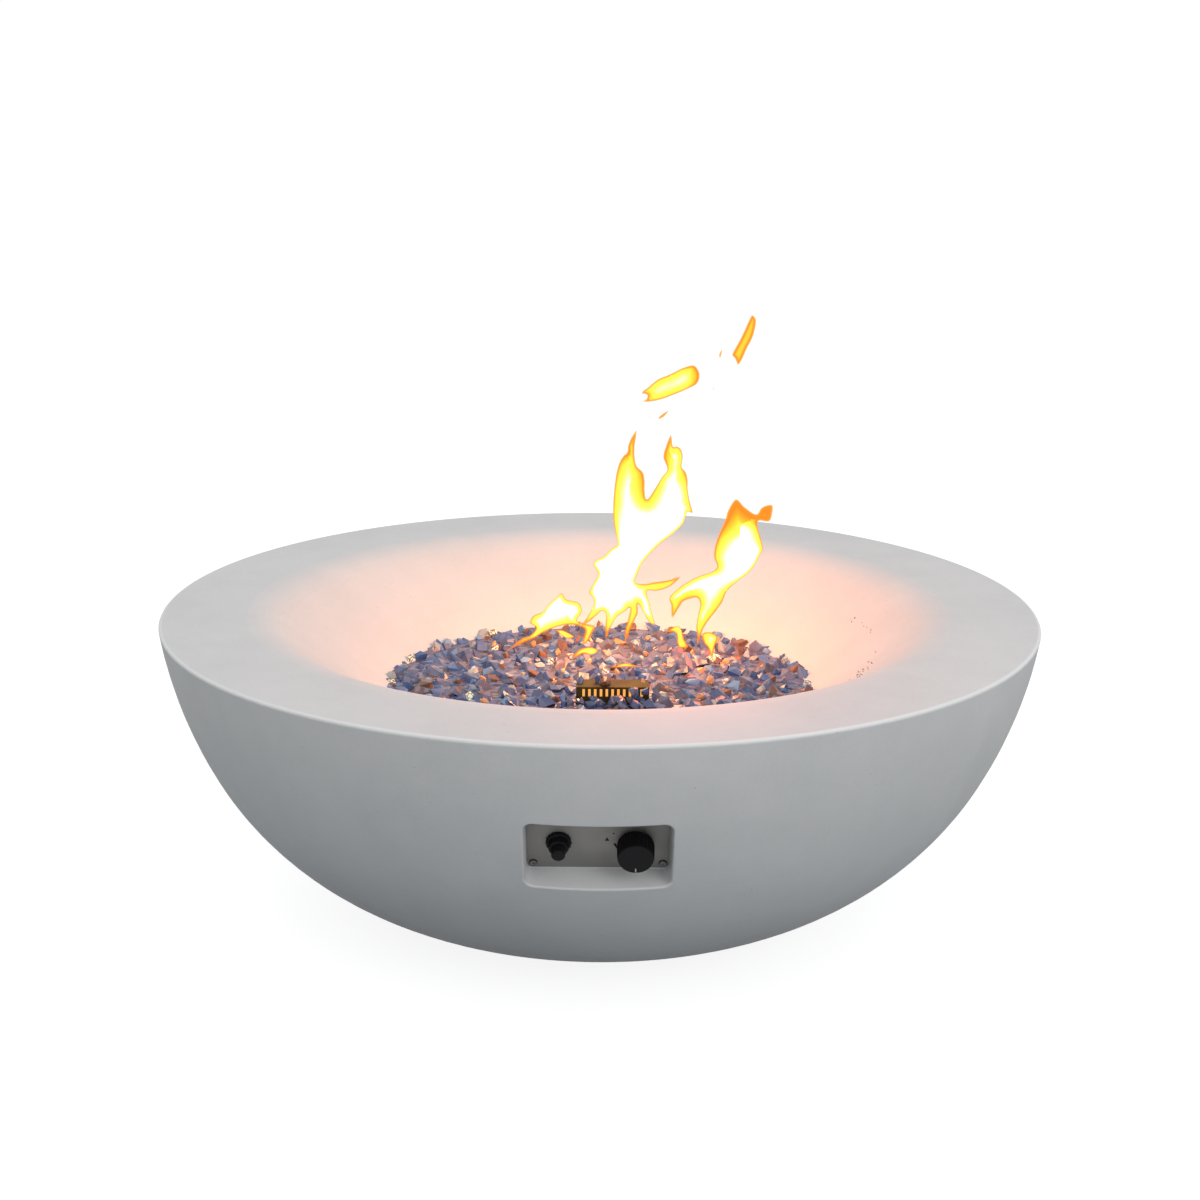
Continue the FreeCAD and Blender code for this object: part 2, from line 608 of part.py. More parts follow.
def make_bowl():
    core = make_core()
    bowl = new_body("bowl_shell")
    blank = revolve(bowl, "blank", [
        ("0", "pad_height"),
        ("base_radius", "pad_height"),
        ("join_r", "join_z", "lower_bend", 1),
        ("rim_radius", "rim_z", "upper_bend", 1),
        ("lip_r", "rim_z"),
        ("lip_end_r", "lip_end_z", "lip_bend", 1),
        ("ledge_radius", "dish_foot_z"),
        ("ledge_radius", "ledge_z"),
        ("0", "ledge_z"),
    ])
    doc.recompute()
    rim = rim_edge(blank.Shape)
    rounded = bowl.newObject("PartDesign::Fillet", "rim_rounded")
    rounded.Base = (blank, [rim])
    bind(rounded, "Radius", "rim_round")
    hollow = bowl.newObject("PartDesign::Boolean", "hollowed")
    hollow.Type = "Cut"
    hollow.addObject(core)

    recess = new_sketch(bowl, "recess", "XY_Plane")
    tilt_sketch(recess, "0")
    add_outline(recess, rounded_corners("recess_width", "recess_height", "recess_corner"))
    mouth = extrude(bowl, recess, str(BEYOND), cut=True, reverse=True)
    bind(mouth, "TaperAngle", "recess_draft")
    cut_checked(bowl, mouth)
    softened = bowl.newObject("PartDesign::Fillet", "mouth_rounded")
    softened.Base = (mouth, mouth_edges(mouth.Shape))
    bind(softened, "Radius", "recess_round")

    window = new_sketch(bowl, "window", "XY_Plane")
    tilt_sketch(window, "0")
    add_outline(window, rounded_corners("window_width", "window_height", "window_corner"))
    cut_checked(bowl, extrude(bowl, window, "2 * recess_back", cut=True))

    holes = new_sketch(bowl, "plate_holes", "XY_Plane")
    tilt_sketch(holes, "0")
    for x in ("-screw_x", "screw_x"):
        for y in ("-screw_y", "screw_y"):
            add_circle(holes, x, y, "screw_radius + screw_play")
    cut_checked(bowl, extrude(bowl, holes, "screw_length", cut=True))

    notch = new_sketch(bowl, "hose_notch", "XZ_Plane")
    add_outline(notch, box_corners(
        "-notch_width / 2", "0", "notch_width / 2", "pad_height + notch_rise"))
    cut_checked(bowl, extrude(bowl, notch, "rim_radius", cut=True, reverse=False))

    anchors = [("leg_x + shelf_foot / 2", side + "shelf_width / 4", "anchor_radius + screw_play")
               for side in ("", "-")]
    drill(bowl, "anchor_holes", anchors, "base_top_z", "anchor_length")
    return bowl


def rim_edge(shape):
    """The name of the rim's outside edge."""
    for index, edge in enumerate(shape.Edges, 1):
        box = edge.BoundBox
        level = box.ZLength < 0.01 and abs(box.ZMax - number("rim_z")) < 0.01
        if level and abs(box.XMax - number("rim_radius")) < 0.01:
            return f"Edge{index}"
    raise RuntimeError("no rim edge")


def wall_radius(z):
    """The outside of the wall at a height."""
    level = "upper" if z > number("join_z") else "lower"
    bend = number("upper_bend" if level == "upper" else "lower_bend")
    centre_r = number(level + "_centre_r")
    centre_z = number(level + "_centre_z")
    return centre_r + math.sqrt(bend ** 2 - (centre_z - z) ** 2)


def mouth_edges(shape):
    """The names of the edges where the control recess meets the outer wall."""
    names = []
    for index, edge in enumerate(shape.Edges, 1):
        middle = edge.valueAt((edge.FirstParameter + edge.LastParameter) / 2)
        near = abs(middle.x) < number("recess_width") and middle.y < 0
        level = abs(middle.z - number("panel_z")) < number("recess_height")
        if not near or not level:
            continue
        if abs(math.hypot(middle.x, middle.y) - wall_radius(middle.z)) < 0.01:
            names.append(f"Edge{index}")
    return names


def make_pads():
    pads = new_body("foot_pads")
    sketch = new_sketch(pads, "pad", "XY_Plane")
    add_circle(sketch, "pad_ring", "0", "pad_radius")
    pad = extrude(pads, sketch, "pad_height")
    repeat_round(pads, pad, "pad_count")


# ---- the plate and its screws ----

def make_plate():
    plate = new_body("control_plate")
    sketch = new_sketch(plate, "plate", "XY_Plane")
    add_outline(sketch, rounded_corners("plate_width", "plate_height", "plate_corner"))
    add_circle(sketch, "knob_offset", "-control_drop", "nose_radius + hole_play")
    add_circle(sketch, "-igniter_offset", "-control_drop", "igniter_nose_radius + hole_play")
    for x in ("-screw_x", "screw_x"):
        for y in ("-screw_y", "screw_y"):
            add_circle(sketch, x, y, "screw_radius + hole_play")
    extrude(plate, sketch, "plate_thick")
    seat_on_panel(plate)


def make_plate_screws():
    screws = new_body("plate_screws")
    shanks = new_sketch(screws, "shanks", "XY_Plane", "plate_thick")
    heads = new_sketch(screws, "heads", "XY_Plane", "plate_thick")
    sockets = new_sketch(screws, "sockets", "XY_Plane", "plate_thick + screw_head_rise")
    for x in ("-screw_x", "screw_x"):
        for y in ("-screw_y", "screw_y"):
            add_circle(shanks, x, y, "screw_radius")
            add_circle(heads, x, y, "screw_head_radius")
            add_circle(sockets, x, y, "screw_socket")
    extrude(screws, shanks, "screw_length", reverse=True)
    extrude(screws, heads, "screw_head_rise")
    cut_checked(screws, extrude(screws, sockets, "screw_head_rise / 2", cut=True))
    seat_on_panel(screws)


# ---- the valve and its knob ----

def seat_at_knob(thing):
    seat_on_panel(thing, "knob_offset", "-control_drop")


def make_valve():
    valve = new_body("valve_body")
    revolve(valve, "body", [
        ("0", "-valve_length"),
        ("valve_radius", "-valve_length"),
        ("valve_radius", "0"),
        ("nose_radius", "0"),
        ("nose_radius", "nose_tip"),
        ("0", "nose_tip"),
    ])
    inlet = new_sketch(valve, "inlet_stub", "YZ_Plane")
    add_circle(inlet, "0", "-port_depth", "stub_radius")
    extrude(valve, inlet, "valve_stub_end")
    outlet = new_sketch(valve, "outlet_stub", "XZ_Plane")
    add_circle(outlet, "0", "-port_depth", "stub_radius")
    extrude(valve, outlet, "valve_stub_end")
    revolve(valve, "bore", [
        ("0", "-valve_length - nose_proud"),
        ("magnet_thread + thread_play", "-valve_length - nose_proud"),
        ("magnet_thread + thread_play", "-chamber_floor"),
        ("plug_radius + plug_play", "-chamber_floor"),
        ("plug_radius + plug_play", "-plug_depth"),
        ("nose_bore", "-plug_depth"),
        ("nose_bore", "nose_tip + nose_proud"),
        ("0", "nose_tip + nose_proud"),
    ], cut=True)
    ways = ("0", "-port_depth", "port_bore")
    drill(valve, "inlet_way", [ways], "0", "valve_stub_end", "YZ_Plane", reverse=True)
    drill(valve, "outlet_way", [ways], "0", "valve_stub_end", "XZ_Plane", reverse=True)
    seat_at_knob(valve)

    nut = hex_nut("valve_nut", "valve_nut_flats", "plate_thick", "plate_thick + nut_thick",
                  "nose_radius + thread_play")
    seat_at_knob(nut)


def make_magnet():
    magnet = new_body("magnet_unit")
    sketch = new_sketch(magnet, "head", "XY_Plane", "-valve_length")
    add_outline(sketch, hexagon_corners("magnet_flats"))
    extrude(magnet, sketch, "magnet_length", reverse=True)
    thread = new_sketch(magnet, "thread", "XY_Plane", "-valve_length")
    add_circle(thread, "0", "0", "magnet_thread")
    extrude(magnet, thread, "valve_length - chamber_floor - plug_end_gap")
    seat_at_knob(magnet)


def make_plug():
    plug = new_body("valve_plug")
    revolve(plug, "plug", [
        ("spindle_radius + spindle_play", "-chamber_floor + plug_end_gap"),
        ("plug_radius", "-chamber_floor + plug_end_gap"),
        ("plug_radius", "-plug_top"),
        ("spindle_radius + spindle_play", "-plug_top"),
    ])
    drill(plug, "gas_way", [("0", "-port_depth", "port_bore")], "0", "4 * plug_radius",
          "YZ_Plane", middle=True)
    seat_at_knob(plug)


def make_spindle():
    spindle = new_body("valve_spindle")
    revolve(spindle, "rod", [
        ("0", "-spindle_depth"),
        ("spindle_radius", "-spindle_depth"),
        ("spindle_radius", "collar_z"),
        ("collar_radius", "collar_z"),
        ("collar_radius", "collar_z + collar_thick"),
        ("spindle_radius", "collar_z + collar_thick"),
        ("spindle_radius", "spindle_tip"),
        ("0", "spindle_tip"),
    ])
    flat = new_sketch(spindle, "flat", "XY_Plane", "spindle_tip")
    add_outline(flat, box_corners("-collar_radius", "spindle_flat", "collar_radius", "collar_radius"))
    cut_checked(spindle, extrude(spindle, flat, "spindle_tip - nose_tip", cut=True))
    seat_at_knob(spindle)


def make_spring(label, radius, length, low):
    """A coil spring on the plate's normal, its lower end at low."""
    coil = doc.addObject("Part::Helix", label + "_line")
    bind(coil, "Radius", radius)
    bind(coil, "Height", f"({length}) - 2 * spring_wire")
    bind(coil, "Pitch", f"(({length}) - 2 * spring_wire) / spring_coils")
    wire = doc.addObject("Part::Circle", label + "_wire")
    bind(wire, "Radius", "spring_wire")
    place(wire, radius, "0", "0", (1, 0, 0), "90")
    spring = doc.addObject("Part::Sweep", label)
    spring.Label = label
    spring.Sections = [wire]
    spring.Spine = (coil, [])
    spring.Solid = True
    spring.Frenet = True
    parts.append(spring)
    return spring


def make_knob():
    knob = new_body("control_knob")
    revolve(knob, "knob", [
        ("spindle_radius + spindle_play", "knob_back + knob_room_depth"),
        ("knob_room_radius", "knob_back + knob_room_depth"),
        ("knob_room_radius", "knob_back"),
        ("knob_radius", "knob_back"),
        ("knob_front_radius", "knob_front - knob_round"),
        ("knob_front_radius - knob_round", "knob_front", "knob_round", 1),
        ("0", "knob_front"),
        ("0", "spindle_tip + plug_end_gap"),
        ("spindle_radius + spindle_play", "spindle_tip + plug_end_gap"),
    ])
    slot = new_sketch(knob, "mark_slot", "XY_Plane", "knob_front")
    add_outline(slot, mark_corners())
    cut_checked(knob, extrude(knob, slot, "mark_depth", cut=True))
    seat_at_knob(knob)

    mark = new_body("knob_pointer")
    line = new_sketch(mark, "line", "XY_Plane", "knob_front - mark_depth")
    add_outline(line, mark_corners())
    extrude(mark, line, "mark_depth")
    seat_at_knob(mark)


def mark_corners():
    """The pointer line, at the bottom of the knob's front."""
    outer = "-knob_front_radius + knob_round"
    return box_corners("-mark_width / 2", outer, "mark_width / 2", outer + " + mark_length")


# ---- the igniter ----

def seat_at_igniter(thing):
    seat_on_panel(thing, "-igniter_offset", "-control_drop")


def make_igniter():
    module = new_body("igniter_body")
    revolve(module, "case", [
        ("0", "-igniter_length"),
        ("igniter_radius", "-igniter_length"),
        ("igniter_radius", "0"),
        ("igniter_nose_radius", "0"),
        ("igniter_nose_radius", "igniter_nose_tip"),
        ("igniter_nose_bore", "igniter_nose_tip"),
        ("igniter_nose_bore", "-battery_depth"),
        ("battery_radius + battery_play", "-battery_depth"),
        ("battery_radius + battery_play", "-battery_depth - battery_length"),
        ("0", "-battery_depth - battery_length"),
    ])
    seat_at_igniter(module)

    battery = new_body("igniter_battery")
    revolve(battery, "cell", [
        ("0", "-battery_depth - battery_length"),
        ("battery_radius", "-battery_depth - battery_length"),
        ("battery_radius", "-battery_depth"),
        ("0", "-battery_depth"),
    ])
    seat_at_igniter(battery)

    nut = new_body("igniter_nut")
    revolve(nut, "ring", [
        ("igniter_nose_radius + thread_play", "plate_thick"),
        ("collar_nut_radius", "plate_thick"),
        ("collar_nut_radius", "igniter_nose_tip - knob_round"),
        ("collar_nut_radius - knob_round", "igniter_nose_tip", "knob_round", 1),
        ("igniter_nose_radius + thread_play", "igniter_nose_tip"),
    ])
    seat_at_igniter(nut)

    cap = new_body("igniter_cap")
    revolve(cap, "cap", [
        ("cap_room_radius", "igniter_nose_tip"),
        ("cap_radius", "igniter_nose_tip"),
        ("cap_radius", "cap_tip - knob_round"),
        ("cap_radius - knob_round", "cap_tip", "knob_round", 1),
        ("button_radius + button_play", "cap_tip"),
        ("button_radius + button_play", "cap_tip - cap_lip"),
        ("cap_room_radius", "cap_tip - cap_lip"),
    ])
    seat_at_igniter(cap)

    button = new_body("igniter_button")
    revolve(button, "button", [
        ("0", "button_flange_z"),
        ("button_flange_radius", "button_flange_z"),
        ("button_flange_radius", "button_flange_z + button_flange_thick"),
        ("button_radius", "button_flange_z + button_flange_thick"),
        ("button_radius", "button_tip - button_dome"),
        ("button_radius - button_dome", "button_tip", "button_dome", 1),
        ("0", "button_tip"),
    ])
    seat_at_igniter(button)


# ---- pan, burner and mixer ----

def make_pan():
    pan = new_body("burner_pan")
    revolve(pan, "sheet", [
        ("0", "pan_under_z"),
        ("pan_wall_radius", "pan_under_z"),
        ("pan_wall_radius", "ledge_z"),
        ("pan_flange_radius", "ledge_z"),
        ("pan_flange_radius", "ledge_z + sheet"),
        ("pan_wall_radius - sheet", "ledge_z + sheet"),
        ("pan_wall_radius - sheet", "pan_floor_z"),
        ("0", "pan_floor_z"),
    ])
    drill(pan, "service_holes", [
        ("0", "0", "nipple_radius + hole_play"),
        ("hood_x - probe_offset", "hood_y", "lead_hole_radius"),
        ("hood_x + probe_offset", "hood_y", "lead_hole_radius"),
        ("hood_x - bracket_screw_span / 2", "hood_y", "bracket_screw_radius + screw_play"),
        ("hood_x + bracket_screw_span / 2", "hood_y", "bracket_screw_radius + screw_play"),
    ], "pan_floor_z", "2 * sheet")
    drains = drill(pan, "drains", [("drain_ring", "0", "drain_radius")], "pan_floor_z", "2 * sheet")
    repeat_round(pan, drains, "drain_count")


def make_burner():
    burner = new_body("ring_burner")
    ring = new_sketch(burner, "ring", "XZ_Plane")
    add_circle(ring, "ring_radius", "ring_z", "tube_radius")
    turned = burner.newObject("PartDesign::Revolution", "ring_turned")
    turned.Profile = ring
    turned.ReferenceAxis = (ring, ["V_Axis"])
    turned.Angle = WHOLE_TURN
    bar = new_sketch(burner, "bar", "YZ_Plane")
    add_circle(bar, "0", "ring_z", "tube_radius")
    extrude(burner, bar, "2 * ring_radius", middle=True)
    revolve(burner, "hub", [
        ("0", "nipple_end_z"),
        ("nipple_radius", "nipple_end_z"),
        ("nipple_radius", "ring_z - hub_half_height"),
        ("hub_radius", "ring_z - hub_half_height"),
        ("hub_radius", "ring_z + hub_half_height"),
        ("0", "ring_z + hub_half_height"),
    ])
    way = new_sketch(burner, "ring_way", "XZ_Plane")
    add_circle(way, "ring_radius", "ring_z", "tube_bore")
    hollow = burner.newObject("PartDesign::Groove", "ring_hollow")
    hollow.Profile = way
    hollow.ReferenceAxis = (way, ["V_Axis"])
    hollow.Angle = WHOLE_TURN
    drill(burner, "bar_way", [("0", "ring_z", "tube_bore")], "0", "2 * ring_radius", "YZ_Plane",
          middle=True)
    revolve(burner, "hub_way", [
        ("0", "nipple_end_z"),
        ("nipple_bore", "nipple_end_z"),
        ("nipple_bore", "ring_z - hub_half_height + hub_wall"),
        ("hub_radius - hub_wall", "ring_z - hub_half_height + hub_wall"),
        ("hub_radius - hub_wall", "ring_z + hub_half_height - hub_wall"),
        ("0", "ring_z + hub_half_height - hub_wall"),
    ], cut=True)
    bar_ports = [(f"{side}ring_radius / 2 + {step} * bar_port_pitch", "0", "port_radius")
                 for side in ("", "-") for step in (-1, 0, 1)]
    drill(burner, "bar_ports", bar_ports, "ring_z + tube_radius", "tube_radius")
    port = drill(burner, "ring_port", [("0", "ring_radius", "port_radius")],
                 "ring_z + tube_radius", "tube_radius")
    repeat_round(burner, port, "port_count")


def make_burner_feet():
    feet = new_body("burner_feet")
    sketch = new_sketch(feet, "post", "XY_Plane", "pan_floor_z")
    add_circle(sketch, "0", "ring_radius", "post_radius")
    post = extrude(feet, sketch, "foot_rise")
    repeat_round(feet, post, "foot_count")


def make_lock_nuts():
    nuts = new_body("burner_locknuts")
    for name, low in (("upper", "pan_floor_z"), ("lower", "pan_under_z - nipple_nut_thick")):
        sketch = new_sketch(nuts, name, "XY_Plane", low)
        add_outline(sketch, hexagon_corners("nipple_nut_flats"))
        add_circle(sketch, "0", "0", "nipple_radius + thread_play")
        extrude(nuts, sketch, "nipple_nut_thick")


def make_mixer():
    mixer = new_body("air_mixer")
    revolve(mixer, "tube", [
        ("mixer_throat", "mixer_z + mixer_floor"),
        ("jet_thread + thread_play", "mixer_z + mixer_floor"),
        ("jet_thread + thread_play", "mixer_z"),
        ("mixer_radius", "mixer_z"),
        ("mixer_radius", "mixer_top_z"),
        ("nipple_radius + thread_play", "mixer_top_z"),
        ("nipple_radius + thread_play", "nipple_end_z"),
        ("mixer_throat", "nipple_end_z"),
    ])
    air = drill(mixer, "air_hole", [("0", "mixer_z + air_hole_rise", "air_hole_radius")],
                "0", "mixer_radius", "YZ_Plane", reverse=True)
    repeat_round(mixer, air, "air_hole_count")

    jet = new_body("gas_jet")
    revolve(jet, "jet", [
        ("jet_bore", "jet_end_z"),
        ("stub_radius", "jet_end_z"),
        ("stub_radius", "jet_z"),
        ("stub_radius", "mixer_z"),
        ("jet_thread", "mixer_z"),
        ("jet_thread", "mixer_z + mixer_floor"),
        ("jet_bore", "mixer_z + mixer_floor"),
    ])
    head = new_sketch(jet, "head", "XY_Plane", "jet_z")
    add_outline(head, hexagon_corners("jet_flats"))
    add_circle(head, "0", "0", "jet_bore")
    extrude(jet, head, "jet_head")


# ---- pipes and leads ----

def rounded_route(points, bend):
    """Straight runs through the points, joined by tangent arcs."""
    edges = []
    start = points[0]
    for before, corner, after in zip(points, points[1:], points[2:]):
        into = (corner - before).normalize()
        away = (after - corner).normalize()
        turn = into.getAngle(away)
        back = bend * math.tan(turn / 2)
        first = corner - into * back
        last = corner + away * back
        to_centre = (away - into).normalize()
        middle = corner + to_centre * (bend / math.cos(turn / 2) - bend)
        edges.append(Part.LineSegment(start, first).toShape())
        edges.append(Part.Arc(first, middle, last).toShape())
        start = last
    edges.append(Part.LineSegment(start, points[-1]).toShape())
    return Part.Wire(edges)


def make_tube(label, points, radius, bend):
    """A round tube along a route."""
    route = rounded_route(points, number(bend))
    heading = points[1] - points[0]
    section = Part.Wire(Part.makeCircle(number(radius), points[0], heading))
    tube = doc.addObject("Part::Feature", label)
    tube.Label = label
    tube.Shape = route.makePipeShell([section], True, True)
    expected = math.pi * number(radius) ** 2 * route.Length
    if abs(tube.Shape.Volume - expected) > 0.01 * expected:
        raise RuntimeError(f"{label} isn't a tube")
    parts.append(tube)


def make_burner_line():
    start = panel_point("knob_offset", "-control_drop - valve_stub_end", "-port_depth")
    down = panel_point("knob_offset", "-control_drop - valve_stub_end - line_drop", "-port_depth")
    low_z = number("jet_end_z - line_drop")
    points = [
        start,
        down,
        Vector(down.x / 2, down.y / 2, low_z + number("line_rise")),
        Vector(0, 0, low_z),
        Vector(0, 0, number("jet_end_z")),
    ]
    make_tube("burner_line", points, "line_radius", "line_bend")


def make_line_nuts():
    """Flare nuts over the stubs of the valve and the jet."""
    nuts = hex_nut("burner_line_nut", "line_nut_flats",
                   "jet_z - line_nut_gap - line_nut_length", "jet_z - line_nut_gap",
                   "stub_radius + thread_play")
    outlet = hex_nut("valve_outlet_nut", "line_nut_flats", "0", "line_nut_length",
                     "stub_radius + thread_play")
    away = "-control_drop - valve_radius - line_nut_gap"
    place(outlet, "knob_offset", panel_y(away, "-port_depth"), panel_height(away, "-port_depth"),
          (1, 0, 0), "180 + panel_tilt")
    inlet = hex_nut("valve_inlet_nut", "line_nut_flats", "0", "line_nut_length",
                    "stub_radius + thread_play")
    place(inlet, "knob_offset + valve_radius + line_nut_gap",
          panel_y("-control_drop", "-port_depth"), panel_height("-control_drop", "-port_depth"),
          (0, 1, 0), "90")
    return nuts


def make_leads():
    under_pan = number("pan_under_z - lead_drop")
    hood_y = number("hood_y")
    runs = [
        ("spark_lead", "-igniter_offset", "-igniter_length", "hood_x - probe_offset",
         "insulator_z", "spark_lead_radius"),
        ("sensor_lead", "knob_offset", "-valve_length - magnet_length", "hood_x + probe_offset",
         "probe_z", "sensor_lead_radius"),
    ]
    for label, x, back, hood_x, top, radius in runs:
        start = panel_point(x, "-control_drop", back)
        clear = panel_point(x, "-control_drop", f"{back} - 2 * lead_bend")
        end_x = number(hood_x)
        pan_edge = -number("pan_wall_radius")
        points = [
            start,
            clear,
            Vector(start.x, pan_edge - number("2 * lead_drop"), under_pan + number("lead_bend")),
            Vector((start.x + end_x) / 2, pan_edge + number("2 * lead_drop"), under_pan),
            Vector(end_x, hood_y, under_pan),
            Vector(end_x, hood_y, number(top)),
        ]
        make_tube(label, points, radius, "lead_bend")


# ---- spark electrode and flame sensor ----

def make_hood():
    hood = new_body("pilot_hood")
    outer = new_sketch(hood, "outer", "XY_Plane", "hood_z")
    add_outline(outer, box_corners("-hood_width / 2", "-hood_depth / 2", "hood_width / 2",
                                   "hood_depth / 2"))
    extrude(hood, outer, "hood_height")
    inner = new_sketch(hood, "inner", "XY_Plane", "hood_z")
    add_outline(inner, box_corners(
        "-hood_width / 2 + hood_sheet", "-hood_depth / 2 + hood_sheet",
        "hood_width / 2 - hood_sheet", "hood_depth / 2 - hood_sheet"))
    cut_checked(hood, extrude(hood, inner, "hood_height - hood_sheet", cut=True, reverse=True))
    slots = new_sketch(hood, "slots", "XZ_Plane")
    high = "hood_top_z - slot_band"
    low = high + " - slot_rise"
    for step in range(-5, 6):
        middle = f"{step} * slot_pitch"
        add_outline(slots, box_corners(f"{middle} - slot_width / 2", low,
                                       f"{middle} + slot_width / 2", high))
    cut_checked(hood, extrude(hood, slots, "2 * hood_depth", cut=True, middle=True))
    place(hood, "hood_x", "hood_y", "0")


def make_bracket():
    bracket = new_body("pilot_bracket")
    side = new_sketch(bracket, "side", "YZ_Plane")
    back = "hood_depth / 2"
    add_outline(side, [
        (f"{back} - bracket_foot", "pan_floor_z"),
        (back, "pan_floor_z"),
        (back, "hood_z"),
        (f"-{back}", "hood_z"),
        (f"-{back}", "shelf_z"),
        (f"{back} - hood_sheet", "shelf_z"),
        (f"{back} - hood_sheet", "pan_floor_z + hood_sheet"),
        (f"{back} - bracket_foot", "pan_floor_z + hood_sheet"),
    ])
    extrude(bracket, side, "bracket_width", middle=True)
    shelf = new_sketch(bracket, "shelf", "XY_Plane", "shelf_z")
    add_outline(shelf, box_corners("-hood_width / 2", f"-{back}", "hood_width / 2", back))
    extrude(bracket, shelf, "hood_sheet")
    drill(bracket, "seats", [
        ("-probe_offset", "0", "insulator_radius"),
        ("probe_offset", "0", "probe_radius"),
    ], "hood_z", "2 * hood_sheet")
    drill(bracket, "foot_holes", [
        ("-probe_offset", "0", "lead_hole_radius"),
        ("probe_offset", "0", "lead_hole_radius"),
        ("-bracket_screw_span / 2", "0", "bracket_screw_radius + screw_play"),
        ("bracket_screw_span / 2", "0", "bracket_screw_radius + screw_play"),
    ], "pan_floor_z + hood_sheet", "2 * hood_sheet")
    place(bracket, "hood_x", "hood_y", "0")

    screws = new_body("bracket_screws")
    heads = new_sketch(screws, "heads", "XY_Plane", "pan_floor_z + hood_sheet")
    shanks = new_sketch(screws, "shanks", "XY_Plane", "pan_floor_z + hood_sheet")
    for x in ("-bracket_screw_span / 2", "bracket_screw_span / 2"):
        add_circle(heads, x, "0", "bracket_screw_head")
        add_circle(shanks, x, "0", "bracket_screw_radius")
    extrude(screws, heads, "bracket_screw_radius")
    extrude(screws, shanks, "bracket_screw_length", reverse=True)
    place(screws, "hood_x", "hood_y", "0")


def make_rod(label, x, low, length, radius):
    """An upright rod under the hood."""
    rod = new_body(label)
    sketch = new_sketch(rod, "round", "XY_Plane", low)
    add_circle(sketch, "0", "0", radius)
    extrude(rod, sketch, length)
    place(rod, x, "hood_y", "0")


# ---- the gas inlet ----

def make_inlet():
    bracket = new_body("inlet_bracket")
    side = new_sketch(bracket, "side", "XZ_Plane")
    inner = "inlet_x - inlet_nut_flats"
    add_outline(side, [
        ("leg_x", "base_top_z"),
        ("leg_x + shelf_foot", "base_top_z"),
        ("leg_x + shelf_foot", "base_top_z + shelf_sheet"),
        ("leg_x + shelf_sheet", "base_top_z + shelf_sheet"),
        ("leg_x + shelf_sheet", "inlet_shelf_z"),
        (inner, "inlet_shelf_z"),
        (inner, "inlet_shelf_z - shelf_sheet"),
        ("leg_x", "inlet_shelf_z - shelf_sheet"),
    ])
    extrude(bracket, side, "shelf_width", middle=True)
    drill(bracket, "fitting_hole", [("inlet_x", "0", "bulkhead_thread + thread_play")],
          "inlet_shelf_z", "2 * shelf_sheet")
    anchors = [("leg_x + shelf_foot / 2", side_sign + "shelf_width / 4",
                "anchor_radius + screw_play") for side_sign in ("", "-")]
    drill(bracket, "anchor_holes", anchors, "base_top_z + shelf_sheet", "2 * shelf_sheet")

    screws = new_body("bracket_anchors")
    heads = new_sketch(screws, "heads", "XY_Plane", "base_top_z + shelf_sheet")
    shanks = new_sketch(screws, "shanks", "XY_Plane", "base_top_z + shelf_sheet")
    for x, y, radius in anchors:
        add_circle(heads, x, y, "anchor_head_radius")
        add_circle(shanks, x, y, "anchor_radius")
    extrude(screws, heads, "anchor_head")
    extrude(screws, shanks, "anchor_length", reverse=True)

    fitting = new_body("inlet_fitting")
    revolve(fitting, "union", [
        ("inlet_bore", "inlet_end_z"),
        ("inlet_thread", "inlet_end_z"),
        ("inlet_thread", "inlet_shelf_z - bulkhead_length"),
        ("bulkhead_thread", "inlet_shelf_z - bulkhead_length"),
        ("bulkhead_thread", "inlet_shelf_z"),
        ("stub_radius", "inlet_shelf_z"),
        ("stub_radius", "inlet_top_z"),
        ("inlet_bore", "inlet_top_z"),
    ])
    head = new_sketch(fitting, "head", "XY_Plane", "inlet_shelf_z")
    add_outline(head, hexagon_corners("inlet_flats"))
    add_circle(head, "0", "0", "inlet_bore")
    extrude(fitting, head, "inlet_head")
    place(fitting, "inlet_x", "0", "0")

    nut = hex_nut("inlet_nut", "inlet_nut_flats",
                  "inlet_shelf_z - shelf_sheet - inlet_nut_thick", "inlet_shelf_z - shelf_sheet",
                  "bulkhead_thread + thread_play")
    place(nut, "inlet_x", "0", "0")


def make_inlet_pipe():
    start = panel_point("knob_offset + valve_stub_end", "-control_drop", "-port_depth")
    turn = number("2 * pipe_bend")
    inlet_x = number("inlet_x")
    top = Vector(inlet_x, 0, number("inlet_top_z"))
    points = [
        start,
        start + Vector(turn, 0, 0),
        Vector(start.x + turn, start.y + turn, start.z - turn),
        Vector(start.x + turn, start.y / 2, number("pan_under_z - pipe_drop")),
        top + Vector(0, 0, number("pipe_rise")),
        top,
    ]
    make_tube("inlet_pipe", points, "pipe_radius", "pipe_bend")


# ---- the fire glass ----

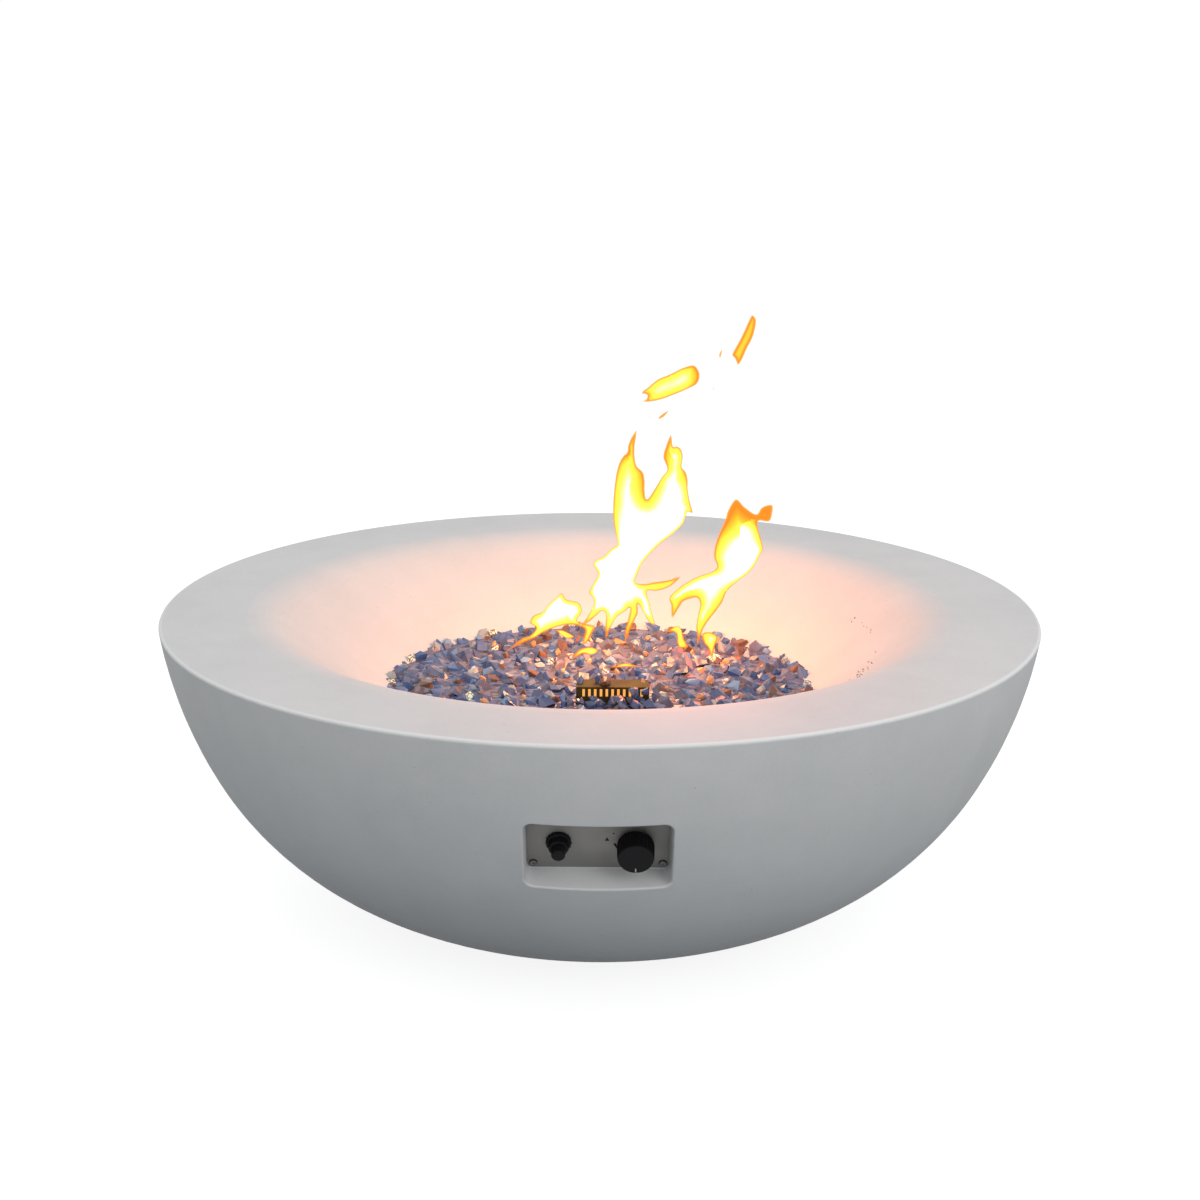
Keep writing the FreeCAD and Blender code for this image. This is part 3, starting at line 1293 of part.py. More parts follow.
def make_chips():
    """Tapered chips over the whole bed, in a spiral; each lies its own way."""
    chips = []
    for index in range(int(number("chip_count"))):
        turn = GOLDEN_ANGLE * index
        radius = number(f"chip_reach * sqrt(({index} + 0.5) / chip_count)")
        x, y = radius * math.cos(math.radians(turn)), radius * math.sin(math.radians(turn))
        if near_hood(x, y):
            continue
        chip = doc.addObject("Part::Wedge", "glass_chip")
        for axis, size in (("X", "chip_length"), ("Y", "chip_thick"), ("Z", "chip_width")):
            bind(chip, axis + "min", f"-{size} / 2")
            bind(chip, axis + "max", f"{size} / 2")
        for axis, size in (("X2", "chip_length"), ("Z2", "chip_width")):
            bind(chip, axis + "min", f"chip_taper - {size} / 2")
            bind(chip, axis + "max", f"{size} / 2 - chip_taper")
        lean = number("chip_lean") * (1 + index % 3 / 2)
        level = number(f"bed_z - bed_dip * (1 - {radius} / bed_r) - chip_sink")
        attitude = FreeCAD.Rotation(turn * 2, lean, WHOLE_TURN / 4 - lean / 2)
        chip.Placement = FreeCAD.Placement(Vector(x, y, level), attitude)
        chips.append(chip)
    return chips


def near_hood(x, y):
    """True where a large chip would meet the hood."""
    beside = abs(x - number("hood_x")) - number("hood_width / 2")
    before = abs(y - number("hood_y")) - number("hood_depth / 2")
    return max(beside, before) < number("glass_gap + 0.65 * chip_length")


def make_chip_room():
    """Where the large chips may be: above the pan's flange and clear of the dish."""
    room = doc.addObject("PartDesign::Body", "chip_room")
    room.Label = "chip_room"
    revolve(room, "space", [
        ("0", "bed_z - chip_depth"),
        ("bed_r - chip_play - chip_depth / tan(dish_slope)", "bed_z - chip_depth"),
        ("bed_r - chip_play", "bed_z"),
        ("bed_r - chip_play", "bed_z + chip_length"),
        ("0", "bed_z + chip_length"),
    ])
    return room


def make_glass():
    loose = doc.addObject("Part::MultiFuse", "loose_chips")
    loose.Shapes = make_chips()
    seated = doc.addObject("Part::Common", "seated_chips")
    seated.Base = loose
    seated.Tool = make_chip_room()
    glass = doc.addObject("Part::Fuse", "fire_glass")
    glass.Label = "fire_glass"
    glass.Base = make_bed()
    glass.Tool = seated
    parts.append(glass)


def make_bed():
    """The bed that the burner stands in, without its large chips."""
    glass = doc.addObject("PartDesign::Body", "glass_bed")
    glass.Label = "glass_bed"
    revolve(glass, "bed", [
        ("0", "pan_floor_z"),
        ("pan_wall_radius - sheet", "pan_floor_z"),
        ("pan_wall_radius - sheet", "ledge_z + sheet"),
        ("pan_flange_radius", "ledge_z + sheet"),
        ("ledge_radius", "dish_foot_z"),
        ("bed_r", "bed_z"),
        ("0", "bed_z - bed_dip"),
    ])
    revolve(glass, "hub_room", [
        ("0", "pan_under_z"),
        ("nipple_nut_flats / sqrt(3) + glass_gap", "pan_under_z"),
        ("nipple_nut_flats / sqrt(3) + glass_gap", "ring_z + hub_half_height + glass_gap"),
        ("0", "ring_z + hub_half_height + glass_gap"),
    ], cut=True)
    ring = new_sketch(glass, "ring_room", "XZ_Plane")
    add_circle(ring, "ring_radius", "ring_z", "tube_radius + glass_gap")
    room = glass.newObject("PartDesign::Groove", "ring_room_turned")
    room.Profile = ring
    room.ReferenceAxis = (ring, ["V_Axis"])
    room.Angle = WHOLE_TURN
    drill(glass, "bar_room", [("0", "ring_z", "tube_radius + glass_gap")], "0",
          "2 * ring_radius", "YZ_Plane", middle=True)
    feet = drill(glass, "foot_room", [("0", "ring_radius", "post_radius + glass_gap")],
                 "ring_z", "ring_z - pan_under_z")
    repeat_round(glass, feet, "foot_count")
    hood = new_sketch(glass, "hood_room", "XY_Plane", "pan_under_z")
    half_width = "(hood_width / 2 + glass_gap)"
    half_depth = "(hood_depth / 2 + glass_gap)"
    add_outline(hood, box_corners(f"hood_x - {half_width}", f"hood_y - {half_depth}",
                                  f"hood_x + {half_width}", f"hood_y + {half_depth}"))
    cut_checked(glass, extrude(glass, hood, str(BEYOND), cut=True, reverse=True))
    return glass


def make_all():
    make_bowl()
    make_pads()
    make_plate()
    make_plate_screws()
    make_valve()
    make_magnet()
    make_plug()
    make_spindle()
    valve_spring = make_spring("valve_spring", "valve_spring_radius", "valve_spring_length", "0")
    low = "-plug_top + spring_wire"
    seat_on_panel(valve_spring, "knob_offset", "-control_drop", low)
    make_knob()
    make_igniter()
    button_spring = make_spring("igniter_spring", "button_spring_radius", "button_spring_length", "0")
    seat_on_panel(button_spring, "-igniter_offset", "-control_drop", "-battery_depth + spring_wire")
    make_pan()
    make_burner()
    make_burner_feet()
    make_lock_nuts()
    make_mixer()
    make_burner_line()
    make_line_nuts()
    make_hood()
    make_bracket()
    make_rod("electrode_insulator", "hood_x - probe_offset", "insulator_z", "insulator_length",
             "insulator_radius")
    make_rod("electrode_rod", "hood_x - probe_offset", "insulator_top_z", "electrode_rise",
             "electrode_radius")
    make_rod("flame_sensor", "hood_x + probe_offset", "probe_z", "probe_length", "probe_radius")
    make_leads()
    make_inlet()
    make_inlet_pipe()
    make_glass()


def check_and_write():
    """Stop on any failed object, then write each piece to its own file."""
    doc.recompute()
    for item in doc.Objects:
        if "Invalid" in item.State or "Error" in item.State:
            raise RuntimeError(f"{item.Label}: {item.State}")
    for part in parts:
        if part.Shape.isNull() or not part.Shape.isValid():
            raise RuntimeError(f"{part.Label} is no valid shape")
    os.makedirs("parts", exist_ok=True)
    for part in parts:
        part.Shape.exportStep(f"parts/{part.Label}.step")
        box = part.Shape.BoundBox
        print(f"{part.Label:22} solids {len(part.Shape.Solids):2}  volume {part.Shape.Volume:12.1f}"
              f"  x {box.XMin:7.1f} {box.XMax:7.1f}  y {box.YMin:7.1f} {box.YMax:7.1f}"
              f"  z {box.ZMin:6.1f} {box.ZMax:6.1f}")


make_all()
check_and_write()
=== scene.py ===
import bmesh
import bpy
import json
import math
from mathutils import Euler, Matrix, Vector, kdtree


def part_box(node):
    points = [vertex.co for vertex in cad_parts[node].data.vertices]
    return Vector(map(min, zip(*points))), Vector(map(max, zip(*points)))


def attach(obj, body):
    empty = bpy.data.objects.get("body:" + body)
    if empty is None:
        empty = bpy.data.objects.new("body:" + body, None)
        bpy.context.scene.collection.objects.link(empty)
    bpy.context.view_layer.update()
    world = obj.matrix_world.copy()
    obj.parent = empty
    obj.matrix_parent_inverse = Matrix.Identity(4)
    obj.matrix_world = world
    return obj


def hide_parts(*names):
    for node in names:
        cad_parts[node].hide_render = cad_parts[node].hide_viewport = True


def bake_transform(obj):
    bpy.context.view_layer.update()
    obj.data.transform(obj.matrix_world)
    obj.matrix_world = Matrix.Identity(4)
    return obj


# A round concrete gas fire bowl, dressed round its frame. Metres, +Z up, controls towards -Y.

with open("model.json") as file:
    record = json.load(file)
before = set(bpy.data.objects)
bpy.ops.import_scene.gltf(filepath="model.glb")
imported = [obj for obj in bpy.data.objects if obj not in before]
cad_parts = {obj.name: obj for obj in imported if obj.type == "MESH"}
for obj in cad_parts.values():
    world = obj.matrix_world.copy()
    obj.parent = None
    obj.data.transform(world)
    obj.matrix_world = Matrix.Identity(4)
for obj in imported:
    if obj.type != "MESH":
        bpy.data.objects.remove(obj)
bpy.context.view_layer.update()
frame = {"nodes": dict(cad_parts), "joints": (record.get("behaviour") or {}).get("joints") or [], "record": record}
MM = 0.001

# ---- places that the frame gives ----

joints = {joint["name"]: joint for joint in frame["joints"]}
rim_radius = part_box("bowl_shell")[1].x
rim_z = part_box("bowl_shell")[1].z
bed_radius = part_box("fire_glass")[1].x
bed_rim = [v.co for v in frame["nodes"]["fire_glass"].data.vertices if v.co.xy.length > bed_radius - 0.2 * MM]
bed_z = max(co.z for co in bed_rim)
hood_low, hood_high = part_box("pilot_hood")
knob_seat = Vector(joints["knob_turn"]["pos_m"])
panel_out = Vector(joints["knob_turn"]["axis"])
panel_right = Vector((1, 0, 0))
panel_up = panel_out.cross(panel_right)
panel_turn = Matrix((panel_right, panel_up, panel_out)).transposed().to_euler()
button_x = (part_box("igniter_button")[0].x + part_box("igniter_button")[1].x) / 2
igniter_seat = Vector((button_x, knob_seat.y, knob_seat.z))


def on_panel(seat, right, up, out):
    """The point that lies so many millimetres along the panel's own axes from a control's seat."""
    return seat + (panel_right * right + panel_up * up + panel_out * out) * MM


def in_scene(name, data):
    """A new object that holds the data."""
    made = bpy.data.objects.new(name, data)
    bpy.context.collection.objects.link(made)
    return made


def closed_piece(name, shape, finish):
    """A bmesh as an object of one finish, its faces turned outward."""
    bmesh.ops.recalc_face_normals(shape, faces=shape.faces)
    mesh = bpy.data.meshes.new(name)
    shape.to_mesh(mesh)
    shape.free()
    mesh.materials.append(finish)
    return in_scene(name, mesh)


def belongs(piece, body):
    """The piece rides on a body."""
    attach(piece, body)
    return piece


# ---- node graphs ----

class Wire:
    """A node's output. Arithmetic with it adds Math nodes."""

    def __init__(self, graph, socket):
        self.graph = graph
        self.socket = socket

    def math(self, operation, first, second=0.0):
        return self.graph.node("ShaderNodeMath", {"operation": operation}, {0: first, 1: second})

    def __add__(self, other):
        return self.math("ADD", self, other)

    def __sub__(self, other):
        return self.math("SUBTRACT", self, other)

    def __mul__(self, other):
        return self.math("MULTIPLY", self, other)

    def __truediv__(self, other):
        return self.math("DIVIDE", self, other)

    def __radd__(self, other):
        return self.math("ADD", other, self)

    def __rsub__(self, other):
        return self.math("SUBTRACT", other, self)

    def __rmul__(self, other):
        return self.math("MULTIPLY", other, self)

    def __gt__(self, other):
        return self.math("GREATER_THAN", self, other)

    def __lt__(self, other):
        return self.math("LESS_THAN", self, other)

    def step(self, low, high):
        """0 below low, 1 above high and a smooth step between them."""
        ends = {1: low, 2: high, 3: 0.0, 4: 1.0}
        return self.graph.node("ShaderNodeMapRange", {"interpolation_type": "SMOOTHSTEP"}, {0: self, **ends})

    def output(self, name):
        return Wire(self.graph, self.socket.node.outputs[name])


class Graph:
    """A node tree; node() makes every node in it."""

    def __init__(self, tree):
        self.tree = tree
        self.tree.nodes.clear()

    def node(self, kind, settings=None, values=None, output=0):
        """A new node: its settings, then its inputs, each a constant, a Wire or a list of them."""
        made = self.tree.nodes.new(kind)
        for name, value in (settings or {}).items():
            if name == "stops":
                self.set_stops(made.color_ramp, value)
            else:
                setattr(made, name, value)
        for key, value in (values or {}).items():
            for part in value if isinstance(value, list) else [value]:
                if isinstance(part, Wire):
                    self.tree.links.new(part.socket, made.inputs[key])
                else:
                    made.inputs[key].default_value = part
        return Wire(self, made.outputs[output]) if made.outputs else made

    @staticmethod
    def set_stops(ramp, stops):
        while len(ramp.elements) < len(stops):
            ramp.elements.new(1.0)
        for element, (place, colour) in zip(ramp.elements, stops):
            element.position = place
            element.color = (*colour, 1.0)

    def vector(self, operation, first, second=(0.0, 0.0, 0.0), output=0):
        return self.node("ShaderNodeVectorMath", {"operation": operation}, {0: first, 1: second}, output)


class Finish(Graph):
    """A material whose patterns lie on the object's own coordinates."""

    def __init__(self, name):
        self.material = bpy.data.materials.new(name)
        self.material.use_nodes = True
        super().__init__(self.material.node_tree)
        self.place = self.node("ShaderNodeTexCoord", output="Object")

    def stretched(self, scale):
        return self.node("ShaderNodeMapping", None, {"Vector": self.place, "Scale": scale})

    def noise(self, scale, detail=3.0, rough=0.5, at=None):
        values = {"Vector": at or self.place, "Scale": scale, "Detail": detail, "Roughness": rough}
        return self.node("ShaderNodeTexNoise", None, values)

    def cells(self, scale):
        return self.node("ShaderNodeTexVoronoi", None, {"Vector": self.place, "Scale": scale})

    def ramp(self, value, stops):
        return self.node("ShaderNodeValToRGB", {"stops": stops}, {0: value})

    def mix(self, factor, first, second):
        colours = {6: rgba(first), 7: rgba(second)}
        return self.node("ShaderNodeMix", {"data_type": "RGBA"}, {0: factor, **colours}, output=2)

    def bump(self, height, distance, strength=1.0):
        values = {"Height": height, "Distance": distance, "Strength": strength}
        return self.node("ShaderNodeBump", None, values)

    def surface(self, **sockets):
        values = {name.replace("_", " "): rgba(value) for name, value in sockets.items()}
        shader = self.node("ShaderNodeBsdfPrincipled", None, values)
        self.show(shader)
        return self.material

    def show(self, shader, socket="Surface"):
        self.node("ShaderNodeOutputMaterial", None, {socket: shader})


def rgba(value):
    """A colour of three numbers gets its alpha; anything else is left as it is."""
    return (*value, 1.0) if isinstance(value, tuple) and len(value) == 3 else value


# ---- finishes ----

def cast_concrete():
    """Pale smooth concrete: clouds, faint stains, pinholes and a worn, lighter rim edge."""
    f = Finish("cast_concrete")
    axes = f.node("ShaderNodeSeparateXYZ", None, {0: f.place})
    height = axes.output("Z")
    flat = f.node("ShaderNodeCombineXYZ", None, {"X": axes, "Y": axes.output("Y")})
    radius = f.vector("LENGTH", flat, output="Value")
    clouds = f.noise(4.0, 5.0, 0.6)
    stains = f.noise(17.0, 6.0, 0.65)
    grain = f.noise(420.0, 2.0)
    pores = 1 - f.cells(85.0).step(0.05, 0.1)
    holes = pores * f.noise(9.0).step(0.55, 0.6)
    outermost = radius.step(rim_radius - 5 * MM, rim_radius - 1 * MM)
    topmost = height.step(rim_z - 6 * MM, rim_z - 2 * MM)
    edge = outermost * topmost
    tone = 0.5 * clouds + 0.3 * stains + 0.2 * grain
    body = f.ramp(tone, [(0.3, (0.545, 0.55, 0.552)), (0.5, (0.6, 0.602, 0.602)),
                         (0.7, (0.65, 0.65, 0.646))])
    worn = f.mix(edge, body, (0.74, 0.74, 0.73))
    colour = f.mix(holes * 0.5, worn, (0.33, 0.33, 0.32))
    relief = 0.4 * grain + 0.6 * stains - holes
    return f.surface(Base_Color=colour, Roughness=0.72 + 0.16 * stains,
                     Normal=f.bump(relief, 0.4 * MM, 0.5), Specular_IOR_Level=0.3)


def brushed(name, colour, along=(3.0, 500.0, 500.0), roughness=0.34, film=(0.2, 0.2, 0.19),
            film_share=0.3):
    """Brushed metal with fine lines one way and a dull film in patches."""
    f = Finish(name)
    lines = f.noise(1.0, 4.0, 0.7, f.stretched(along))
    patches = f.noise(22.0, 4.0, 0.6)
    dark = tuple(channel * 0.8 for channel in colour)
    bare = f.mix(lines, dark, colour)
    dull = patches.step(0.45, 0.75) * film_share
    return f.surface(Base_Color=f.mix(dull, bare, film), Metallic=1 - 0.6 * dull,
                     Roughness=roughness + 0.14 * lines + 0.25 * dull, Normal=f.bump(lines, 0.05 * MM, 0.4))


def heat_tinted():
    """Steel that the flame has coloured: olive, brown and grey in clouds."""
    f = Finish("heat_tinted_steel")
    clouds = f.noise(34.0, 4.0, 0.6)
    stops = [(0.3, (0.07, 0.06, 0.018)), (0.48, (0.055, 0.044, 0.013)), (0.6, (0.04, 0.028, 0.012)),
             (0.72, (0.04, 0.04, 0.04))]
    scale = f.noise(600.0, 2.0)
    return f.surface(Base_Color=f.ramp(clouds, stops), Roughness=0.55 + 0.2 * scale,
                     Normal=f.bump(clouds + 0.2 * scale, 1.5 * MM, 0.5), Specular_IOR_Level=0.08)


def turned(name, colour, roughness=0.28):
    """Turned or drawn metal with fine tool marks and handling stains."""
    f = Finish(name)
    marks = f.noise(1.0, 3.0, 0.6, f.stretched((60.0, 60.0, 2200.0)))
    stains = f.noise(60.0, 4.0, 0.6)
    dark = tuple(channel * 0.62 for channel in colour)
    return f.surface(Base_Color=f.mix(stains.step(0.35, 0.7), colour, dark), Metallic=1.0,
                     Roughness=roughness + 0.2 * stains, Normal=f.bump(marks, 0.04 * MM, 0.4))


def moulded(name, colour, roughness=0.42, grain_scale=1500.0, shine=0.5):
    """Moulded plastic or rubber with a fine spark-eroded grain and a little dust."""
    f = Finish(name)
    grain = f.noise(grain_scale, 2.0)
    dust = f.noise(40.0, 4.0, 0.65).step(0.5, 0.85)
    dusty = tuple(0.9 * channel + 0.012 for channel in colour)
    return f.surface(Base_Color=f.mix(dust, colour, dusty), Roughness=roughness + 0.12 * dust,
                     Normal=f.bump(grain, 0.05 * MM, 0.5), Specular_IOR_Level=shine)


def fire_chip(name, deep, pale, clear=0.3, roughness=0.16):
    """Broken tempered glass; each chip has a tone of its own, and faint clouds inside."""
    f = Finish(name)
    tone = f.node("ShaderNodeAttribute", {"attribute_name": "tone"}, output="Fac")
    veins = f.noise(160.0, 2.0)
    colour = f.mix(0.75 * tone + 0.25 * veins, deep, pale)
    chipped = f.noise(420.0, 2.0)
    return f.surface(Base_Color=colour, Roughness=roughness + 0.12 * veins, IOR=1.5,
                     Transmission_Weight=clear, Normal=f.bump(chipped, 0.3 * MM, 0.35))


def painted_glint_crazed_chip():
    """A chip crazed all through, whose pale, tinted colour is a painted glint."""
    f = Finish("crackled_glass")
    lines = f.node("ShaderNodeTexVoronoi", {"feature": "DISTANCE_TO_EDGE"},
                   {"Vector": f.place, "Scale": 220.0})
    # Painted glint: the pale tints stand for sparkle; the dark lines are the crazing.
    tint = f.ramp(f.noise(90.0), [(0.4, (0.95, 0.95, 0.9)), (0.55, (0.95, 0.88, 0.6)),
                                  (0.7, (0.8, 0.93, 0.75))])
    colour = f.mix(lines.step(0.03, 0.12), (0.06, 0.06, 0.07), tint)
    return f.surface(Base_Color=colour, Roughness=0.1, Normal=f.bump(lines, 0.5 * MM, 0.5))


def glass_under():
    """The dark body of the bed that shows between the chips."""
    f = Finish("glass_under")
    cells = f.cells(48.0).output("Color")
    tone = f.node("ShaderNodeSeparateColor", None, {0: cells})
    stops = [(0.0, (0.05, 0.07, 0.16)), (0.5, (0.11, 0.14, 0.27)), (0.8, (0.14, 0.08, 0.055)),
             (1.0, (0.2, 0.24, 0.38))]
    relief = f.cells(75.0)
    return f.surface(Base_Color=f.ramp(tone, stops), Roughness=0.2, Normal=f.bump(relief, 4 * MM, 0.7))


FINISHES = {
    "concrete": cast_concrete(),
    "rubber": moulded("foot_rubber", (0.03, 0.03, 0.03), 0.7, 700.0),
    # Painted shade: the stainless is far darker than bare steel, for the shade of the recess that its plate lies
    # in.
    "stainless": brushed("brushed_stainless", (0.25, 0.246, 0.235), roughness=0.62, film=(0.23, 0.23, 0.22),
                         film_share=0.5),
    "heat_tinted_steel": heat_tinted(),
    "zinc_plated_steel": turned("zinc_plate", (0.6, 0.6, 0.57), 0.34),
    "brass": turned("turned_brass", (0.72, 0.53, 0.22)),
    "cast_aluminium": turned("die_cast_alloy", (0.6, 0.61, 0.62), 0.45),
    "pipe": brushed("drawn_pipe", (0.66, 0.66, 0.66), (300.0, 300.0, 300.0), 0.3),
    "copper": turned("drawn_copper", (0.72, 0.36, 0.2)),
    "spring_steel": turned("bright_wire", (0.55, 0.55, 0.55), 0.2),
    "black_plastic": moulded("black_plastic", (0.006, 0.006, 0.007), 0.5, shine=0.1),
    "white_paint": moulded("white_paint", (0.42, 0.42, 0.41), 0.5),
    "battery_wrap": moulded("battery_wrap", (0.09, 0.09, 0.1), 0.3),
    "ceramic": moulded("alumina", (0.8, 0.77, 0.7), 0.6, 900.0),
    "cable_jacket": moulded("silicone_jacket", (0.3, 0.03, 0.025), 0.5),
    "fire_glass": glass_under(),
}
CHIP_FINISHES = {
    "slate": fire_chip("slate_glass", (0.07, 0.11, 0.24), (0.2, 0.275, 0.5)),
    "mauve": fire_chip("mauve_glass", (0.13, 0.13, 0.21), (0.27, 0.275, 0.4)),
    "cobalt": fire_chip("cobalt_glass", (0.05, 0.11, 0.3), (0.14, 0.27, 0.56)),
    "sky": fire_chip("sky_glass", (0.18, 0.34, 0.6), (0.38, 0.56, 0.76)),
    "copper": fire_chip("copper_glass", (0.13, 0.06, 0.035), (0.3, 0.15, 0.09), 0.1, 0.2),
    "clear": fire_chip("clear_glass", (0.42, 0.41, 0.4), (0.7, 0.69, 0.65)),
    # Painted glint: orange chips that stand for the fire's light glinting on the glass.
    "painted_fire_glint": fire_chip("amber_glass", (0.75, 0.34, 0.14), (0.95, 0.58, 0.3)),
    # Painted glint: these chips' pale colour stands for sparkle on the glass.
    "crackle": painted_glint_crazed_chip(),
}
NODE_FINISHES = {"plate_screws": turned("polished_screw", (0.3, 0.3, 0.295), 0.08)}
node_slots = {part["node"]: part["material_slot"] for part in frame["record"]["subparts"]}
for node, thing in frame["nodes"].items():
    for slot in thing.material_slots:
        slot.material = NODE_FINISHES.get(node, FINISHES[node_slots[node]])


# ---- geometry recipes ----

ROUND_STEPS = 96
CHIP_SHAPES = 4
CHIP_THINNEST, CHIP_FULLEST = (0.35, 0.3, 0.25), (1.25, 1.0, 0.85)
CHIP_SMALLEST, CHIP_LARGEST = 0.5, 1.15


class Recipe(Graph):
    """A Geometry Nodes tree. Its inputs are named, and start at the values given."""

    KINDS = {int: "NodeSocketInt", float: "NodeSocketFloat", tuple: "NodeSocketVector"}

    def __init__(self, name, **inputs):
        super().__init__(bpy.data.node_groups.new(name, "GeometryNodeTree"))
        self.sockets = {}
        for label, value in inputs.items():
            self.add_input(label, self.KINDS[type(value)]).default_value = value
        self.add_input("finish", "NodeSocketMaterial")
        self.add_input("landing", "NodeSocketObject")
        self.tree.interface.new_socket("Geometry", in_out="OUTPUT", socket_type="NodeSocketGeometry")
        self.given = self.node("NodeGroupInput")

    def add_input(self, label, kind):
        socket = self.tree.interface.new_socket(label, in_out="INPUT", socket_type=kind)
        self.sockets[label] = socket.identifier
        return socket

    def value(self, label):
        return self.given.output(label)

    def random(self, low, high, seed, kind="FLOAT"):
        """A random value for each element. Every draw in a recipe has a seed of its own."""
        first, output = {"FLOAT_VECTOR": (0, 0), "FLOAT": (2, 1), "INT": (4, 2)}[kind]
        values = {first: low, first + 1: high, 8: seed}
        return self.node("FunctionNodeRandomValue", {"data_type": kind}, values, output)

    def finish_with(self, shape):
        """Real geometry with its material: the tree's end."""
        real = self.node("GeometryNodeRealizeInstances", None, {0: shape})
        flat = self.node("GeometryNodeSetShadeSmooth", None, {"Geometry": real, "Shade Smooth": False})
        dressed = self.node("GeometryNodeSetMaterial", None, {0: flat, "Material": self.value("finish")})
        self.node("NodeGroupOutput", None, {0: dressed})
        return self

    def grow(self, name, body, slot, finish, **sizes):
        """Runs the recipe and keeps what it makes as a plain mesh on one body."""
        piece = in_scene(name, bpy.data.meshes.new(name))
        modifier = piece.modifiers.new("recipe", "NODES")
        modifier.node_group = self.tree
        for label, value in {"finish": finish, **sizes}.items():
            modifier[self.sockets[label]] = value
        evaluated = piece.evaluated_get(bpy.context.evaluated_depsgraph_get())
        mesh = bpy.data.meshes.new_from_object(evaluated)
        piece.modifiers.clear()
        piece.data = mesh
        mesh.name = name
        return belongs(piece, body)


def chip_recipe():
    """Shards dropped on a surface: squeezed, shaken balls of few sides, hulled, a few shapes mixed."""
    most_per_square_metre = 60000.0
    drop_from = rim_z + 0.1
    r = Recipe("chips", length=0.017, spacing=0.01, inner=0.0, outer=0.26, bare=0.0, sink=-0.2, lift=0.4,
               seed=1, field_low=(-1.0, -1.0, 0.0), field_high=(1.0, 1.0, 0.0), gap_low=(0.0, 0.0, 0.0),
               gap_high=(0.0, 0.0, 0.0))
    disc = r.node("GeometryNodeMeshCircle", {"fill_type": "NGON"},
                  {"Vertices": ROUND_STEPS, "Radius": r.value("outer")})
    patches = r.node("ShaderNodeTexNoise", None, {"Scale": 26.0, "Detail": 2.0})
    where = patches > r.value("bare")
    points = r.node("GeometryNodeDistributePointsOnFaces", {"distribute_method": "POISSON"},
                    {"Mesh": disc, "Distance Min": r.value("spacing"), "Density Max": most_per_square_metre,
                     "Density Factor": where, "Seed": r.value("seed")})
    place = r.node("GeometryNodeInputPosition")
    axes = r.node("ShaderNodeSeparateXYZ", None, {0: place})

    def within(low_label, high_label):
        low = r.node("ShaderNodeSeparateXYZ", None, {0: r.value(low_label)})
        high = r.node("ShaderNodeSeparateXYZ", None, {0: r.value(high_label)})
        across = (axes > low) * (axes < high)
        return across * (axes.output("Y") > low.output("Y")) * (axes.output("Y") < high.output("Y"))

    too_near = r.vector("LENGTH", place, output="Value") < r.value("inner")
    unwanted = within("gap_low", "gap_high") + too_near + (1 - within("field_low", "field_high"))
    kept = r.node("GeometryNodeDeleteGeometry", {"domain": "POINT"},
                  {"Geometry": points, "Selection": unwanted})

    landing = r.node("GeometryNodeObjectInfo", None, {"Object": r.value("landing")}, output="Geometry")
    start = r.vector("ADD", place, (0.0, 0.0, drop_from))
    drop = r.node("GeometryNodeRaycast", None,
                  {"Target Geometry": landing, "Source Position": start, "Ray Direction": (0.0, 0.0, -1.0),
                   "Ray Length": 1.0}, output="Hit Position")
    rise = r.random(r.value("sink"), r.value("lift"), 11) * r.value("length")
    upward = r.node("ShaderNodeCombineXYZ", None, {"Z": rise})
    seated = r.node("GeometryNodeSetPosition", None, {"Geometry": kept, "Position": drop, "Offset": upward})

    shapes = []
    for shape in range(CHIP_SHAPES):
        ball = r.node("GeometryNodeMeshIcoSphere", None, {"Radius": 0.5, "Subdivisions": 1})
        squeeze = r.random(CHIP_THINNEST, CHIP_FULLEST, 20 + shape, "FLOAT_VECTOR")
        corner = r.vector("MULTIPLY", r.node("GeometryNodeInputPosition"), squeeze)
        shaken = r.node("GeometryNodeSetPosition", None, {"Geometry": ball, "Position": corner})
        hull = r.node("GeometryNodeConvexHull", None, {0: shaken})
        shapes.append(r.node("GeometryNodeGeometryToInstance", None, {0: [hull]}))
    mixed = r.node("GeometryNodeJoinGeometry", None, {0: shapes})
    size = r.random(CHIP_SMALLEST, CHIP_LARGEST, 12) * r.value("length")
    scattered = r.node("GeometryNodeInstanceOnPoints", None,
                       {"Points": seated, "Instance": mixed, "Pick Instance": True,
                        "Instance Index": r.random(0, CHIP_SHAPES - 1, 13, "INT"),
                        "Rotation": r.random((0.0, 0.0, 0.0), (math.tau,) * 3, 14, "FLOAT_VECTOR"),
                        "Scale": size})
    toned = r.node("GeometryNodeStoreNamedAttribute", {"data_type": "FLOAT", "domain": "INSTANCE"},
                   {"Geometry": scattered, "Name": "tone", "Value": r.random(0.0, 1.0, 15)})
    return r.finish_with(toned)


